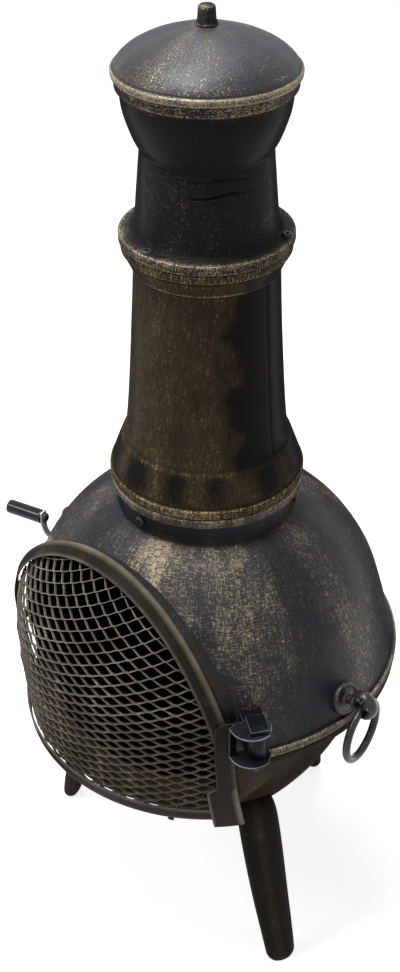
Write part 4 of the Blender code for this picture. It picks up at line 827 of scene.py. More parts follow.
def upper_bowl():
    """Flange, neck, dome and rim turned about the axis, open at the mouth, with its lip and lug.
    A row of the wall starts where the middle of the lip crosses it."""
    foot = JOINT + GAP
    bore = NECK_RADIUS - CAST_WALL
    line = dome_line()
    neck = [(NECK_RADIUS, height) for height in (FLANGE_FOOT - 0.0006, 0.467, 0.460)]
    flange = edge(FLANGE_RADIUS, FLANGE_JOINT - GAP, FLANGE_FOOT)
    rim = edge(RIM_RADIUS, RIM_TOP, foot)
    outer = np.vstack([flange, neck, line, rim])
    inner = np.vstack([upright(bore, flange), upright(bore, neck), inset(line, CAST_WALL),
                       upright(RIM_RADIUS - 0.009, rim)])
    inner[:, 0] = np.maximum(inner[:, 0], bore)
    section = np.vstack([outer, inner[::-1]])
    share = np.clip(opening(section[:, 1], 0.0, 0.01) / section[:, 0], 0.0, 0.97)
    open_at = np.where(section[:, 1] < MOUTH_CENTRE + LIP_MIDDLE, np.degrees(np.arcsin(share)), 0.0)

    def rub(azimuth, height):
        """Brush passes down the dome and a little more rub towards the neck; round azimuth 30, right
        of the door and strongest near the neck, extra rub is a painted sheen.
        """
        share = np.clip((height - RIM_TOP) / (NECK_FOOT - RIM_TOP), 0.0, 1.0)
        passes = brushed(azimuth, (18, 60, 101, 150, 205, 255, 310), 11.0, 0.32, 0.62)
        # Painted sheen: more rub, so paler gold and crest tone, round azimuth 30 near the neck, where
        # the overhead light's reflection falls.
        near = np.exp(-turn_from(azimuth, 30.0) ** 2 / 900.0)
        body = passes + 0.12 * share + 0.45 * near * share ** 1.5
        body = np.where(height > NECK_FOOT + 0.001, 0.05, body)
        body = np.where(height > FLANGE_FOOT - 0.0017, 0.34, body)
        return np.where(height < RIM_TOP - 0.0005, 0.30, body)

    wall = casting(outer, inner, columns_of(open_at, 220), rub, 0.15, open_at > 0.0,
                   notch=RIM_RADIUS - 0.0037)
    mouth = lip(arch_over(LIP_RADIUS, MOUTH_CENTRE, foot),
                arch_over(LIP_RADIUS - LIP_WALL, MOUTH_CENTRE, foot), np.vstack([line, rim]), 0.1)
    return make("upper_bowl_casting", "body", ["upper_bowl"], [wall, mouth, hinge_lug()],
                [BOWL, SOOT, BLACK])


def lower_bowl():
    """Rim and bowl turned about the axis. The mouth's gap goes down to the middle of the sill, and
    the front columns close the wall below it."""
    top = JOINT - GAP
    sill = SILL - LIP_WALL / 2.0
    front = 76
    line = bowl_line()
    rim = edge(RIM_RADIUS - 0.0008, top, RIM_FOOT)
    spot = int(np.searchsorted(-line[:, 1], -sill))
    line = np.insert(line, spot, (radius_at(line, sill), sill), axis=0)
    inside = inset(line, CAST_WALL)
    outer = np.vstack([rim, line, [(0.0, line[-1, 1])]])
    inner = np.vstack([upright(BOWL_RADIUS - CAST_WALL, rim), inside, [(0.0, inside[-1, 1])]])
    section = np.vstack([outer, inner[::-1]])
    rows = len(section)
    last = len(rim) + spot
    gap = np.minimum(np.arange(rows), rows - 1 - np.arange(rows)) < last
    width = opening(np.maximum(section[:, 1], sill + 0.0004), sill, 0.0155)
    share = np.clip(width / np.maximum(section[:, 0], 0.01), 0.0, 0.97)
    open_at = np.degrees(np.arcsin(share))
    open_at = np.where(gap, open_at, open_at[last])

    def rub(azimuth, height):
        """Most on the bowl under the door, a bell round azimuth 0, and little on the rim."""
        near = np.exp(-turn_from(azimuth) ** 2 / 1800.0)
        return np.where(height > RIM_FOOT + 0.0005, 0.20, 0.50 + 0.35 * near)

    wall = casting(outer, inner, columns_of(open_at, 190, front), rub, 0.12, gap, front,
                   DISH_RADIUS - 0.010)
    mouth = lip(arch_under(LIP_RADIUS, top, SILL - SILL_DEPTH, 0.016),
                arch_under(LIP_RADIUS - LIP_WALL, top, SILL, 0.011),
                np.vstack([[(BOWL_RADIUS, top + 0.001)], line]), 0.95, SILL_FORWARD)
    return make("lower_bowl_casting", "body", ["lower_bowl"], [wall, mouth], [UNDER, SOOT])


# -------------------------------------------------------------- chimney

def pipe(node, outer, inner, steps, pattern, rub, look, body="body", size=0.0004, dent=None):
    """Casting without a mouth: outer and inner sections are joined at both ends."""
    span, inner_span = (along(line) / along(line)[-1] for line in (outer, inner))
    paired = np.stack([np.interp(span, inner_span, inner[:, k]) for k in (0, 1)], -1)
    azimuth = np.broadcast_to(np.arange(steps) * 360.0 / steps, (2 * len(outer), steps))
    wall = casting(outer, paired, azimuth, rub, pattern, size=size, dent=dent)
    return make(node + "_casting", body, [node], [wall], [look, SOOT])


def lower_chimney():
    """Collar, waisted barrel, flare and flange turned about the axis, with a spigot in the neck."""
    top = COLLAR_JOINT - GAP
    under = top - 0.0075
    foot = FLANGE_JOINT + GAP
    shelf = foot + 0.0088
    barrel = curve([(0.0662, under - 0.0030), (0.0612, under - 0.0140), (0.0600, under - 0.0220),
                    (0.06405, (under + shelf) / 2.0), (0.0689, shelf + 0.0390),
                    (0.0739, shelf + 0.0260), (0.0813, shelf + 0.0060)], 10)
    spigot = NECK_RADIUS - CAST_WALL - 0.0005
    outer = np.vstack([edge(COLLAR_RADIUS - 0.0017, top, under), barrel,
                       edge(FLANGE_RADIUS, shelf, foot), [(spigot, foot), (spigot, foot - 0.026)]])
    inner = np.array([(0.056, top), (0.056, under - 0.022), (0.0649, shelf + 0.039),
                      (spigot - 0.004, shelf + 0.014), (spigot - 0.004, foot - 0.026)])

    def rub(azimuth, height):
        """Brown down the front and the back of the barrel; brushed in passes over the flare."""
        turn = turn_from(azimuth)
        border = 66.0 + 6.0 * np.sin(height * 95.0) + 3.0 * np.sin(height * 230.0 + 1.0)
        front = fade(turn - border, 1.6) * fade(-turn - 62.0, 6.0)
        back = fade(np.abs(turn_from(azimuth, 190.0)) - 50.0, 5.0)
        low = np.exp(-((height - 0.500) / 0.012) ** 2) * 0.22
        body = 0.08 + 0.62 * np.maximum(front, back) + low
        passes = brushed(azimuth, (12, 38, 62, 74, 100, 140, 175, 210, 250, 300, 340), 8.0, 0.10,
                         0.66)
        flare = np.clip((shelf + 0.0330 - height) / 0.010, 0.0, 1.0)
        body = body + (passes - body) * flare
        body = np.where(height < shelf + 0.0004, 0.66, body)
        return np.where(height > under - 0.001, 0.52, body)

    def seams(azimuth, height):
        """Joint lines of the mould: thin grooves straight down both sides of the barrel."""
        return 0.0009 * sum(np.exp(-((azimuth - side) / 1.1) ** 2) for side in (97.0, 277.0))

    return pipe("lower_chimney", outer, inner, 240, 0.065, rub, TUBE, dent=seams)


def upper_chimney():
    """Rim, flared cup, straight neck, its rounded root and the foot plate, turned about the axis."""
    foot = COLLAR_JOINT + GAP
    plate = foot + COLLAR_PLATE
    cup_foot = CHIMNEY_TOP - 0.054
    cup = curve([(CUP_RADIUS, CHIMNEY_TOP - 0.0098), (CUP_RADIUS - 0.0022, CHIMNEY_TOP - 0.0255),
                 (CUP_RADIUS - 0.0085, CHIMNEY_TOP - 0.0445), (0.0532, cup_foot)], 10)
    neck = [(0.0524, cup_foot - 0.0022), (0.0568, plate + 0.0150)]
    root = curve([(0.0568, plate + 0.0150), (0.0580, plate + 0.0070), (0.0592, plate + 0.0028),
                  (0.0612, plate + 0.0006), (0.0632, plate + 0.0001)], 5)[1:]
    rim = edge(CUP_RADIUS + 0.0035, CHIMNEY_TOP, CHIMNEY_TOP - 0.0085, 0.0025)
    outer = np.vstack([rim, cup, spaced(neck, 0.0011), root, edge(COLLAR_RADIUS, plate, foot)])
    inner = np.array([(0.0625, CHIMNEY_TOP), (0.0603, CHIMNEY_TOP - 0.0255),
                      (0.054, CHIMNEY_TOP - 0.0445), (0.048, cup_foot), (0.0528, plate + 0.010),
                      (0.054, foot)])

    def rub(azimuth, height):
        """Little on the cup, more on its rim and the neck, and most on top of the foot plate."""
        share = np.clip((cup_foot - height) / 0.008, 0.0, 1.0)
        low = np.clip((plate + 0.0012 - height) / 0.0006, 0.0, 1.0)
        high = np.clip((height - CHIMNEY_TOP + 0.014) / 0.003, 0.0, 1.0)
        body = 0.05 + 0.42 * share * (1.0 - low) + 0.5 * high + 0.60 * low
        return np.where(height < plate - 0.0006, 0.52, body)

    def folds(azimuth, height):
        """Folds in the casting's skin: grooves that wander up and down and fade at both ends."""
        depth = 0.0
        for level, tilt, middle, width, deep in ((0.0095, 0.00003, 48.0, 34.0, 0.0018),
                                                 (0.0215, 0.00009, 52.0, 26.0, 0.0027),
                                                 (0.0150, -0.00005, 175.0, 40.0, 0.0010)):
            turn = azimuth - middle
            line = cup_foot - level + tilt * turn + 0.0008 * np.sin(turn * 0.16)
            near = (height - line) / 0.0011
            depth = depth + deep * np.exp(-near ** 2 - (turn / width) ** 4)
        return depth

    return pipe("upper_chimney", outer, inner, 220, 0.058, rub, CUP, dent=folds)


def lid():
    """Shallow dome that falls to a groove and a thin rim, over a spigot inside the cup."""
    low = CHIMNEY_TOP + GAP
    dome = curve([(0.0120, -0.0004), (0.0240, -0.0036), (0.0370, -0.0082), (0.0490, -0.0126),
                  (0.0600, -0.0186), (0.0668, -0.0244), (0.0697, -0.0284)], 10)
    rim = curve([(0.0697, -0.0284), (0.0700, -0.0294), (0.0704, -0.0299), (0.0716, -0.0303),
                 (0.0724, -0.0312), (LID_RADIUS, -0.0330), (0.0722, -0.0352)], 4)[1:]
    out = CUP_RADIUS - 0.005
    outer = np.vstack([[(0.0028, 0.0)], dome, rim]) + (0.0, LID_TOP)
    outer = np.vstack([outer, [(LID_RADIUS - 0.0018, low), (out, low), (out, low - 0.008)]])
    inner = np.array([(0.0028, LID_TOP - 0.004), (0.0120, LID_TOP - 0.0044),
                      (0.0370, LID_TOP - 0.0124), (out - 0.004, LID_TOP - 0.0250),
                      (out - 0.004, low - 0.008)])

    def rub(azimuth, height):
        """Wide brush passes over the dome, and more on the rim."""
        passes = brushed(azimuth, (-5, 32, 180, 230), 24.0, 0.30, 0.56)
        return np.where(height < LID_TOP - 0.030, 0.68, passes)

    return pipe("lid", outer, inner, 200, 0.05, rub, LID, "lid", 0.0002)


def knob():
    """Round stub with a soft top and a spread foot, turned about the axis."""
    form = curve([(0.0, 0.0150), (0.0040, 0.0148), (0.0060, 0.0138), (0.0066, 0.0120),
                  (0.0070, 0.0060), (0.0076, 0.0025), (0.0084, 0.0008), (0.0084, 0.0)], 6)
    section = np.vstack([form, [(0.0, 0.0)]]) + (0.0, LID_TOP + GAP)
    stub = turned(section, 48, 0.01, rub=0.70, worn=0.4)
    return make("lid_knob_casting", "lid", ["lid_knob"], [stub], [CUP])


# ------------------------------------------------------------ fasteners

def six_sided(azimuth):
    """Radius of a hexagon at an azimuth, as a share of its corners' radius."""
    return math.cos(math.pi / 6.0) / np.cos(np.radians((azimuth % 60.0) - 30.0))


def screw(head, height, shank, length):
    """Pan head with a hexagon socket; the socket's radius follows a six-sided outline."""
    section = curve([(head * 0.42, height * 0.98), (head * 0.70, height * 0.93),
                     (head * 0.93, height * 0.62), (head, height * 0.25), (head, 0.0)], 4)
    socket = [(0.0, height * 0.35), (head * 0.36, height * 0.35), (head * 0.37, height * 0.97)]
    section = np.vstack([socket, section, [(shank, 0.0), (shank, -length), (0.0, -length)]])
    steps = 24
    made = turned(section, steps, 0.005)
    hexagon = np.tile(six_sided(np.arange(steps) * 360.0 / steps) * 1.06, len(section))
    in_socket = np.repeat(np.arange(len(section)) < len(socket), steps)
    made["points"][:, :2] *= np.where(in_socket, hexagon, 1.0)[:, None]
    return made


def small_screw(length, shank=0.0025):
    """The head that the screws of the chimney, the lid and the handle share."""
    return screw(0.0045, 0.003, shank, length)


def nut():
    """Hexagon nut: the six-sided outline is held under a cone near both faces."""
    radius, height, bore, steps = 0.0058, 0.005, 0.0033, 48
    low = np.array([0.0, 0.0006, 0.0012])
    heights = np.concatenate([[0.0], low, height - low[::-1], [height]])
    limit = np.concatenate([[0.0], radius * np.array([0.90, 0.95, 1.0])])
    limit = np.concatenate([limit, limit[::-1]])
    azimuth = np.arange(steps) * 360.0 / steps
    outline = np.minimum(radius * six_sided(azimuth)[None], limit[:, None])
    outline[[0, -1]] = bore
    wear = np.repeat(np.where(limit > radius * 0.93, 0.4, 0.1), steps)
    return shape(around(azimuth, outline, heights[:, None]),
                 grid_faces(len(heights), steps, True), wear)


def fasten(name, made, place, direction, look, body="body"):
    """One screw or nut, its axis along a direction."""
    return make(name + "_part", body, [name], [placed(made, place, direction)], [look])


def chimney_screws():
    """Three screws down through the collar's plate, and three through the side of the neck."""
    seat = COLLAR_JOINT + GAP + COLLAR_PLATE - 0.0006
    for side, azimuth in SCREW_AZIMUTHS:
        fasten("collar_screw_" + side, small_screw(0.0132),
               around(azimuth, COLLAR_RADIUS - 0.0057, seat + GAP), (0, 0, 1), SCREWS)
        fasten("neck_screw_" + side, small_screw(0.0085),
               around(azimuth, NECK_RADIUS + GAP, NECK_SCREW_HEIGHT), around(azimuth, 1.0, 0.0),
               SCREWS)


def bowl_bolts():
    """Bolts from inside the bowl, square to its wall, into the legs and through the base."""
    line = bowl_line()
    for kind, sides, radius, sizes in (("base", BASE_BOLTS, BASE_BOLT_RADIUS,
                                        (0.0062, 0.0035, 0.003, 0.015)),
                                       ("leg", LEGS, LEG_BOLT_RADIUS,
                                        (0.0065, 0.004, 0.003, 0.014))):
        height, slope = height_at(line, radius)
        for side, azimuth in sides:
            out = around(azimuth, slope[0], slope[1])
            place = around(azimuth, radius, height)
            fasten("%s_bolt_%s" % (kind, side), screw(*sizes),
                   place - out * (CAST_WALL + HEAD_PLAY), -out, SCREWS)
            if kind == "base":
                fasten("base_nut_" + side, nut(), place + out * HEAD_PLAY, out, SCREWS)


def knob_screw():
    """Screw up through the lid into its knob."""
    fasten("lid_knob_screw", small_screw(0.0115), (0.0, 0.0, LID_TOP - 0.0043), (0, 0, -1), ZINC,
           "lid")


def hinge_bolt():
    """Bolt with a four-cornered head, longer outwards than across, and the nut under the ears."""
    pin = around(PIN_AZIMUTH, PIN_RADIUS, EAR_HIGH + EAR_SHEET + GAP)
    turn = np.radians(PIN_AZIMUTH - 90.0)
    out = np.array([math.cos(turn), math.sin(turn)])
    side = np.array([-out[1], out[0]])
    long, short = 0.0105, 0.0084
    corners = rounded([(long, short), (-long, short), (-long, -short), (long, -short)], 0.0009, 4)
    outline = pin[:2] + corners[:, :1] * out + corners[:, 1:] * side
    head = slab(outline, pin[2], pin[2] + 0.0045, 0.0009, 0.35)
    shank = turned([(0.0, 0.001), (0.003, 0.001), (0.003, -0.0490), (0.0025, -0.0499),
                    (0.0, -0.0499)], 24)
    make("hinge_bolt_part", "body", ["hinge_bolt"], [head, placed(shank, pin, (0, 0, 1))], [BLACK])
    fasten("hinge_nut", nut(), (pin[0], pin[1], EAR_LOW - GAP), (0, 0, -1), SCREWS)


# ----------------------------------------------------------------- legs

def leg(side, azimuth):
    """Leg lofted down its centre line: each ring is a superellipse of exponent 2.4 laid across the
    line. It narrows to a round toe, cut flat at the ground. The side legs lean towards the back."""
    height, out = height_at(bowl_line(), LEG_ROOT)
    start = np.array([LEG_ROOT, height])
    spine = curve([start - out * 0.004, start + out * 0.010, (0.135, height - 0.040),
                   (0.147, height * 0.46), (0.159, height * 0.16), (LEG_TOE, -0.0035)], 14)
    run = along(spine)
    fine = np.linspace(0.0, 1.0, 120) ** 0.8 * run[-1]
    share = fine / run[-1]
    spine = np.stack([np.interp(fine, run, spine[:, k]) for k in (0, 1)], -1)
    toe = np.clip((run[-1] - fine) / 0.014, 0.0, 1.0)
    width = LEG_HALF_WIDTH * (1.0 - 0.10 * np.exp(-share / 0.10) - 0.33 * share ** 1.6)
    width = width * np.maximum(np.sqrt(1.0 - (1.0 - toe) ** 2), 0.04)
    thick = LEG_HALF_THICKNESS * np.minimum(np.maximum(width / 0.0135, 0.04), 1.0) ** 0.8
    turn = np.radians(np.arange(40) * 9.0)
    c, s = (np.sign(v) * np.abs(v) ** (2.0 / 2.4) for v in (np.cos(turn), np.sin(turn)))
    ahead = unit(np.gradient(spine, axis=0))
    deep = thick[:, None] * s
    radial = spine[:, :1] - ahead[:, 1:] * deep
    z = np.maximum(spine[:, 1:] + ahead[:, :1] * deep, 0.0)
    lean = (LEG_LEAN * share ** 1.3 - 0.0030) * (0.0 if side == "back" else np.sign(azimuth))
    across = width[:, None] * c
    sideways = across + lean[:, None]
    angle = math.radians(azimuth)
    x = radial * math.sin(angle) + sideways * math.cos(angle)
    y = -radial * math.cos(angle) + sideways * math.sin(angle)
    wear = np.clip(np.abs(c) - 0.8, 0.0, 1.0)[None] * 0.5
    wear = wear + np.exp(-((run[-1] - fine) / 0.012) ** 2)[:, None] * 0.15
    # A paler streak down the middle of the leg, brighter still near its root: part rubbed bronze,
    # part painted highlight.
    streak = np.exp(-((across + 0.003) / 0.0045) ** 2)
    root = np.exp(-((fine - 0.030) / 0.018) ** 2)[:, None]
    made = shape(np.stack([x, y, z], -1), bar_faces(len(spine), len(turn)), wear,
                 np.stack([across, deep, fine[:, None] + 0.0 * across], -1),
                 rub=0.32 + 0.50 * streak + 0.25 * root * streak)
    return make("leg_%s_casting" % side, "body", ["leg_" + side], [made], [LEG])


# ------------------------------------------------------- carrying rings

def loop(radius, bar, steps, sides, rub, width=1.0):
    """Round bar bent to a circle about Z; the width stretches it along Z. Across the bar a point is
    nearer the middle by the bar times a cosine, and higher by the bar times a sine."""
    side = np.radians(np.arange(sides) * 360.0 / sides)
    inward, rise = bar * np.cos(side), bar * width * np.sin(side)
    azimuth = np.arange(steps) * 360.0 / steps + 90.0
    run = along(around(azimuth, radius, 0.0))[:, None]
    return shape(around(azimuth[:, None], radius - inward, rise), grid_faces(steps, sides, True),
                 0.0, np.stack(np.broadcast_arrays(inward, rise, run), -1), rub=rub)


def ring_mount(side, place, out, centre, across):
    """Boss on the wall with a stud into the bowl and a stem that carries the flattened eye."""
    form = curve([(0.0, 0.0062), (0.0052, 0.0060), (0.0072, 0.0042), (0.0100, 0.0037),
                  (0.0128, 0.0040), (0.0140, 0.0036), (0.0150, 0.0018), (0.0150, -0.0020)], 5)
    boss = turned(np.vstack([form, [(0.0, -0.0028)]]), 64, 0.012, rub=0.75, worn=0.25)
    stud = turned([(0.0, 0.001), (0.003, 0.001), (0.003, -0.0138), (0.0, -0.0138)], 24)
    stem = turned([(0.0, 0.0126), (0.0036, 0.0126), (0.0037, 0.008), (0.0044, 0.005),
                   (0.0044, 0.003), (0.0, 0.003)], 32, rub=0.6)
    pieces = [placed(piece, place, out) for piece in (boss, stud, stem)]
    pieces.append(placed(loop(EYE_RADIUS, EYE_BAR, 56, 16, 0.7, 1.6), centre, across))
    make("ring_mount_%s_casting" % side, "body", ["ring_mount_" + side], pieces, [RING])
    fasten("ring_nut_" + side, nut(), place - out * (CAST_WALL + HEAD_PLAY), -out, SCREWS)


def carrying_ring(side, azimuth):
    """Mount square to the dome's wall, and the ring that hangs in its eye, twisted a little."""
    dome = dome_line()
    k = int(np.argmin(np.abs(dome[:, 1] - RING_HEIGHT)))
    ahead = unit(dome[k + 1] - dome[k - 1])
    out = around(azimuth, -ahead[1], ahead[0])
    place = around(azimuth, radius_at(dome, RING_HEIGHT), RING_HEIGHT)
    centre = place + out * RING_STANDOFF
    ring_mount(side, place, out, centre, np.cross((0.0, 0.0, 1.0), around(azimuth, 1.0, 0.0)))
    drop = EYE_RADIUS - EYE_BAR - RING_BAR - 0.0005 + RING_RADIUS
    twist = math.copysign(RING_TWIST, azimuth)
    ring = placed(loop(RING_RADIUS, RING_BAR, 96, 20, 0.45), centre - (0.0, 0.0, drop),
                  around(azimuth + twist, 1.0, 0.0))
    make("carry_ring_%s_steel" % side, "ring_" + side, ["carry_ring_" + side], [ring], [RING])


# ----------------------------------------------------------------- door

def band(outer, inner, width, face, close, wear):
    """Dished sheet between two outlines in front view: u goes from one to the other, and a rounded
    rectangle gives the depth from the dish's face at each u."""
    corners = [(0.0, 0.0), (width, 0.0), (width, SHEET), (0.0, SHEET)]
    profile = rounded(spaced(corners, 0.003, True), 0.0005, 4)
    share = profile[:, 0] / width
    spot = outer[:, None] + (inner - outer)[:, None] * share[None, :, None]
    points = on_dish(spot[..., 0], spot[..., 1], face + profile[None, :, 1])
    size = len(outer), len(profile)
    # Paler lines along both edges of the band: part edge wear, part painted highlight.
    near = np.minimum(np.abs(share), np.abs(1.0 - share)) * width
    worn = np.broadcast_to(np.exp(-(near / 0.0009) ** 2) * wear, size)
    flow = np.broadcast_arrays(profile[:, 0], profile[:, 1], along(outer)[:, None])
    return shape(points, [grid_faces(*size, True)] if close else bar_faces(*size), worn,
                 np.stack(flow, -1))


def door_outline(inset_by, foot, corner):
    """Arch over the door, then its sides and foot with round corners, set in from the edge."""
    radius = ARCH_RADIUS - inset_by
    return np.vstack([arch_over(radius, ARCH_CENTRE, ARCH_CENTRE - 0.0006),
                      arch_under(radius, ARCH_CENTRE - 0.002, foot, corner)])


def door_frame():
    """Band between the door's outline and a smaller one inside it."""
    edges = door_outline(0.0, DOOR_FOOT, 0.002), door_outline(FRAME_WIDTH, DOOR_FOOT + 0.0125, 0.003)
    # The frame's pale edge lines are part wear, part painted highlight.
    return make("door_frame_steel", "door", ["door_frame"],
                [band(*edges, FRAME_WIDTH, 0.0, True, 0.55)], [DOOR])


def door_plate(name, sign, top, foot):
    """Plate welded over the frame: full width below, then as narrow as the frame's band, and
    drawn in to a point at its top end."""
    height = np.linspace(foot, top, 90)
    narrow = np.clip((height - DOOR_FOOT - 0.040) / 0.006, 0.0, 1.0)
    width = PLATE_WIDTH + (PLATE_TOP_WIDTH - PLATE_WIDTH) * narrow * narrow * (3.0 - 2.0 * narrow)
    width = width * np.clip((top + 0.002 - height) / 0.006, 0.0, 1.0) ** 0.5
    outer, inner = (np.stack([sign * (PLATE_EDGE - reach), height], -1)
                    for reach in (0.0 * width, width))
    # Its pale edge lines, part wear and part painted highlight, fade where it narrows.
    plate = band(outer, inner, PLATE_WIDTH, -SHEET - 0.0002, False, 1.2)
    plate["wear"] = plate["wear"] * np.repeat(1.0 - 0.8 * narrow, len(plate["wear"]) // len(height))
    return make(name + "_steel", "door", [name], [plate], [DOOR])


def door_mesh():
    """Expanded metal. Strand k runs across the door at a height that swings by a quarter of the
    short way, up where the next strand swings down, so that they meet at every knuckle. Its
    section is a ribbon on edge, tilted 12 degrees, and both ends stop inside the frame."""
    under_frame, stations = 0.0055, 260
    reach = ARCH_RADIUS - under_frame
    foot, top = DOOR_FOOT + under_frame, ARCH_CENTRE + reach
    rows = int((top - foot) / (STRAND_SHORT / 2.0))
    k = np.arange(rows)[:, None, None]
    middle = foot + (k + 0.5) * STRAND_SHORT / 2.0
    half = np.sqrt(np.clip(reach ** 2 - np.clip(middle - ARCH_CENTRE, 0.0, None) ** 2, 1e-6, None))
    side = np.minimum(np.arcsin(np.clip(half / dish(middle), 0.0, 1.0)), math.radians(49.5))
    turn = side * np.linspace(-1.0, 1.0, stations)[None, :, None]
    phase = turn * DISH_RADIUS / STRAND_LONG * 2.0 * math.pi
    wave = np.arcsin(0.985 * np.sin(phase)) / math.asin(0.985)
    swing = np.where(k % 2 == 0, 1.0, -1.0) * wave
    height = np.clip(middle + swing * STRAND_SHORT / 4.0, foot + 0.0012, top - 0.0012)
    radius = behind_dish(height, SHEET + 0.0027 + 0.00045 * swing)
    centre = np.stack([radius * np.sin(turn), -radius * np.cos(turn), height], -1)
    normal = unit(np.stack([np.sin(turn), -np.cos(turn), dish_slope(height)], -1))
    ahead = unit(np.gradient(centre, axis=1))
    rise = unit(np.cross(ahead, normal))
    high, wide = 0.0011, 0.00042
    profile = rounded([(high, wide), (-high, wide), (-high, -wide), (high, -wide)], 0.0003, 2)
    tilt = math.radians(12.0)
    a = profile[:, 0] * math.cos(tilt) - profile[:, 1] * math.sin(tilt)
    b = profile[:, 0] * math.sin(tilt) + profile[:, 1] * math.cos(tilt)
    points = centre + normal * a[None, None, :, None] + rise * b[None, None, :, None]
    faces = []
    for row in range(rows):
        faces += bar_faces(stations, len(profile), row * stations * len(profile))
    # Paler outer edge on each strand: part scuffed metal, part painted glint.
    wear = np.broadcast_to(np.where(a > 0.0009, 0.7, 0.1), points.shape[:3])
    return make("door_mesh_steel", "door", ["door_mesh"], [shape(points, faces, wear)], [MESH])


def hinge_bracket():
    """Two ears over and under the lug, joined by an upright web against the door's plate."""
    pin = around(PIN_AZIMUTH, PIN_RADIUS, 0.0)
    web = PLATE_EDGE + GAP
    turn = np.radians(np.linspace(-118.0, 6.0, 22))
    bulge = np.stack([pin[0] - 0.0056 + EAR_BULGE * np.cos(turn),
                      pin[1] - 0.0009 + EAR_BULGE * np.sin(turn)], -1)
    turn = np.radians(np.linspace(12.0, 150.0, 18))
    back = np.stack([pin[0] + EAR_BACK * np.cos(turn), pin[1] + EAR_BACK * np.sin(turn)], -1)
    near, far = bulge[0, 1], pin[1] - 0.0104
    outline = np.vstack([[(web, near)], bulge, back, [(web, far)]])
    ears = [slab(outline, low, low + EAR_SHEET, 0.0006) for low in (EAR_LOW, EAR_HIGH)]
    wall = np.array([(web, near), (web + EAR_SHEET, near), (web + EAR_SHEET, far), (web, far)])
    joining = slab(wall, EAR_LOW + 0.0006, EAR_HIGH + EAR_SHEET - 0.0006, 0.0003, 0.2)
    return make("hinge_bracket_steel", "door", ["hinge_bracket"], [*ears, joining], [BLACK])


def edge_height(azimuth):
    """Height where the frame's outer edge crosses an azimuth, found on a fine list of heights."""
    height = np.linspace(ARCH_CENTRE, ARCH_CENTRE + ARCH_RADIUS, 4000)
    x = dish(height) * math.sin(math.radians(azimuth))
    inside = x * x + (height - ARCH_CENTRE) ** 2 < ARCH_RADIUS ** 2
    return float(height[inside].max())


def handle_strip(top, radius, grip_radius, grip_height, grip):
    """Flat strip up from the door's back, over the frame's edge and out to the grip. On the way it
    twists from the door's azimuth to the grip's; share says how far the twist has gone."""
    half, half_sheet = 0.004, 0.0009
    past = edge_height(HANDLE_AZIMUTH + math.degrees(half / radius)) - top + 0.0042
    behind = SHEET + 0.0008 + GAP + half_sheet
    heights = np.array([top - 0.0022, top + 0.0020, top + past])
    out = unit(np.stack([np.ones(3), dish_slope(heights)], -1))
    low = np.stack([dish(heights) - behind * out[:, 0], heights - behind * out[:, 1]], -1)
    line = np.vstack([low, [(grip_radius - 0.002, top + max(0.01334, past + 0.005)),
                            (grip_radius, top + 0.02204), (grip_radius, grip_height),
                            (grip_radius, grip_height + 0.00576)]])
    rows = np.hstack([line, np.array([0.0, 0.0, 0.0, 0.5, 0.9, 1.0, 1.0])[:, None]])
    rows = np.vstack([rows[:2], curve(rows[1:], 9)[1:]])
    spine, share = rows[:, :2], np.clip(rows[:, 2:], 0.0, 1.0)
    ahead = unit(np.gradient(spine, axis=0))
    start, end = math.radians(HANDLE_AZIMUTH), math.atan2(grip[0], -grip[1])
    turn = start + (end - start) * share[:, 0]
    outward = np.stack([np.sin(turn), -np.cos(turn), 0.0 * turn], -1)
    lean = unit(outward * ahead[:, 1:] - np.array([[0.0, 0.0, 1.0]]) * ahead[:, :1] * (1.0 - share))
    wide = np.stack([np.cos(turn), np.sin(turn), 0.0 * turn], -1)
    middle = around(HANDLE_AZIMUTH, spine[:, 0], spine[:, 1])
    profile = rounded([(-half, -half_sheet), (half, -half_sheet), (half, half_sheet),
                       (-half, half_sheet)], 0.0005, 4)
    points = (middle[:, None] + wide[:, None] * profile[None, :, :1]
              + lean[:, None] * profile[None, :, 1:])
    worn = np.broadcast_to(np.where(np.abs(profile[:, 0]) > 0.0036, 1.0, 0.1), points.shape[:2])
    strip = shape(points, bar_faces(len(middle), len(profile)), worn)
    make("handle_strip_steel", "door", ["handle_strip"], [strip], [STRIP])


def handle():
    """The strip, the grip that stands square on its upper end, and the screw through both."""
    top = edge_height(HANDLE_AZIMUTH)
    radius = float(dish(np.array(top)))
    grip_height, grip_radius = top + GRIP_RISE, radius - GRIP_SETBACK
    grip = unit(np.array(GRIP_DIRECTION))
    handle_strip(top, radius, grip_radius, grip_height, grip)
    centre = around(HANDLE_AZIMUTH, grip_radius, grip_height)
    form = curve([(0.0, 0.0340), (0.0040, 0.0340), (0.0056, 0.0336), (0.0062, 0.0326),
                  (0.0062, 0.0200), (0.0062, 0.0012), (0.0056, 0.0003), (0.0046, 0.0)], 5)
    body = placed(turned(np.vstack([form, [(0.0, 0.0)]]), 48), centre + grip * 0.0012, grip)
    make("handle_grip_plastic", "door", ["handle_grip"], [body], [GRIP])
    fasten("handle_screw", small_screw(0.01625, 0.002), centre - grip * 0.0012, -grip, SCREWS,
           "door")


# -------------------------------------------------------------- making

BOWL = bowl_finish()
UNDER = under_finish()
TUBE = tube_finish()
CUP = cup_finish()
LID = lid_finish()
LEG = leg_finish()
RING = ring_finish()
SOOT = soot_finish()
DOOR = sheet_finish()
MESH = mesh_finish()
BLACK = black_finish()
SCREWS = screw_finish()
ZINC = zinc_finish()
STRIP = strip_finish()
GRIP = grip_finish()

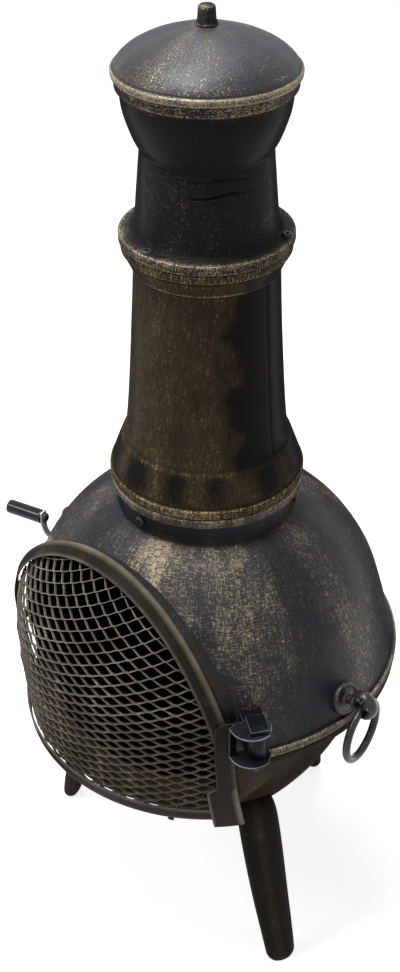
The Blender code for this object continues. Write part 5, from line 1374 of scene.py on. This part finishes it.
upper_bowl()
lower_bowl()
lower_chimney()
upper_chimney()
lid()
knob()
chimney_screws()
bowl_bolts()
knob_screw()
hinge_bolt()
for side, azimuth in LEGS:
    leg(side, azimuth)
for side, azimuth in RINGS:
    carrying_ring(side, azimuth)
door_frame()
door_plate("door_hinge_plate", 1.0, EAR_HIGH + EAR_SHEET, DOOR_FOOT - 0.0085)
door_plate("door_latch_plate", -1.0, DOOR_FOOT + 0.075, DOOR_FOOT - 0.00425)
door_mesh()
hinge_bracket()
handle()


# --------------------------------------------------------------- studio

def seen_directly(tree):
    """1 for rays from the camera and through gloss or glass, 0 for light that falls on a piece."""
    path = add(tree, 'ShaderNodeLightPath')
    seen = work_out(tree, 'MAXIMUM', path.outputs["Is Camera Ray"], path.outputs["Is Glossy Ray"])
    return work_out(tree, 'MAXIMUM', seen, path.outputs["Is Transmission Ray"])


def pale_paint():
    """Matt paint with a glow that falls on nothing."""
    made = bpy.data.materials.new("pale_floor")
    made.use_nodes = True
    tree = made.node_tree
    tree.nodes.clear()
    matt = add(tree, 'ShaderNodeBsdfDiffuse')
    matt.inputs["Color"].default_value = (0.58, 0.57, 0.55, 1.0)
    light = add(tree, 'ShaderNodeEmission')
    feed(tree, light.inputs["Strength"], times(tree, seen_directly(tree), 0.80))
    both = add(tree, 'ShaderNodeAddShader')
    out = add(tree, 'ShaderNodeOutputMaterial')
    tree.links.new(matt.outputs[0], both.inputs[0])
    tree.links.new(light.outputs[0], both.inputs[1])
    tree.links.new(both.outputs[0], out.inputs["Surface"])
    return made


def floor():
    mesh = bpy.data.meshes.new("floor")
    size = 9.0
    mesh.from_pydata([(-size, -size, 0), (size, -size, 0), (size, size, 0), (-size, size, 0)], [],
                     [(0, 1, 2, 3)])
    mesh.materials.append(pale_paint())
    in_scene("floor", mesh)


def soft_sky():
    """Soft bluish light all round, and plain white where the world itself is seen."""
    world = bpy.data.worlds.new("studio")
    bpy.context.scene.world = world
    world.use_nodes = True
    tree = world.node_tree
    tree.nodes.clear()
    mixed = add(tree, 'ShaderNodeMixShader')
    tree.links.new(seen_directly(tree), mixed.inputs[0])
    for socket, colour, strength in ((mixed.inputs[1], (0.90, 0.94, 1.0, 1.0), 0.28),
                                     (mixed.inputs[2], (1.0, 1.0, 1.0, 1.0), 1.0)):
        light = add(tree, 'ShaderNodeBackground')
        light.inputs["Color"].default_value = colour
        light.inputs["Strength"].default_value = strength
        tree.links.new(light.outputs[0], socket)
    out = add(tree, 'ShaderNodeOutputWorld')
    tree.links.new(mixed.outputs[0], out.inputs["Surface"])


def lamps():
    """Round soft lamps, each aimed at a height on the axis."""
    for name, place, aim_height, size, power, colour in (
            ("key", (-0.9, -1.9, 2.4), 0.4, 0.7, 22.0, (1.0, 0.97, 0.92)),
            ("top", (-0.22, -0.42, 2.5), 0.4, 0.9, 56.0, (0.88, 0.94, 1.0)),
            ("back", (-0.54, 0.54, 2.4), 0.7, 0.5, 12.0, (0.88, 0.94, 1.0)),
            ("fill", (2.2, 0.4, 0.9), 0.4, 1.2, 3.0, (1.0, 0.97, 0.94))):
        data = bpy.data.lights.new(name, 'AREA')
        data.shape = 'DISK'
        data.size = size
        data.energy = power
        data.color = colour
        thing = in_scene(name, data)
        thing.location = place
        aim = Vector((0.0, 0.0, aim_height)) - Vector(place)
        thing.rotation_euler = aim.to_track_quat('-Z', 'Y').to_euler()


def camera():
    data = bpy.data.cameras.new("camera")
    data.lens = 56.56
    data.shift_x = -0.0070
    data.dof.use_dof = False
    thing = in_scene("camera", data)
    thing.location = (0.7790, -0.7790, 1.2389)
    thing.rotation_euler = (math.radians(54.72), 0.0, math.radians(45.0))
    bpy.context.scene.camera = thing


floor()
soft_sky()
lamps()
camera()
bpy.context.scene.view_settings.view_transform = 'Standard'
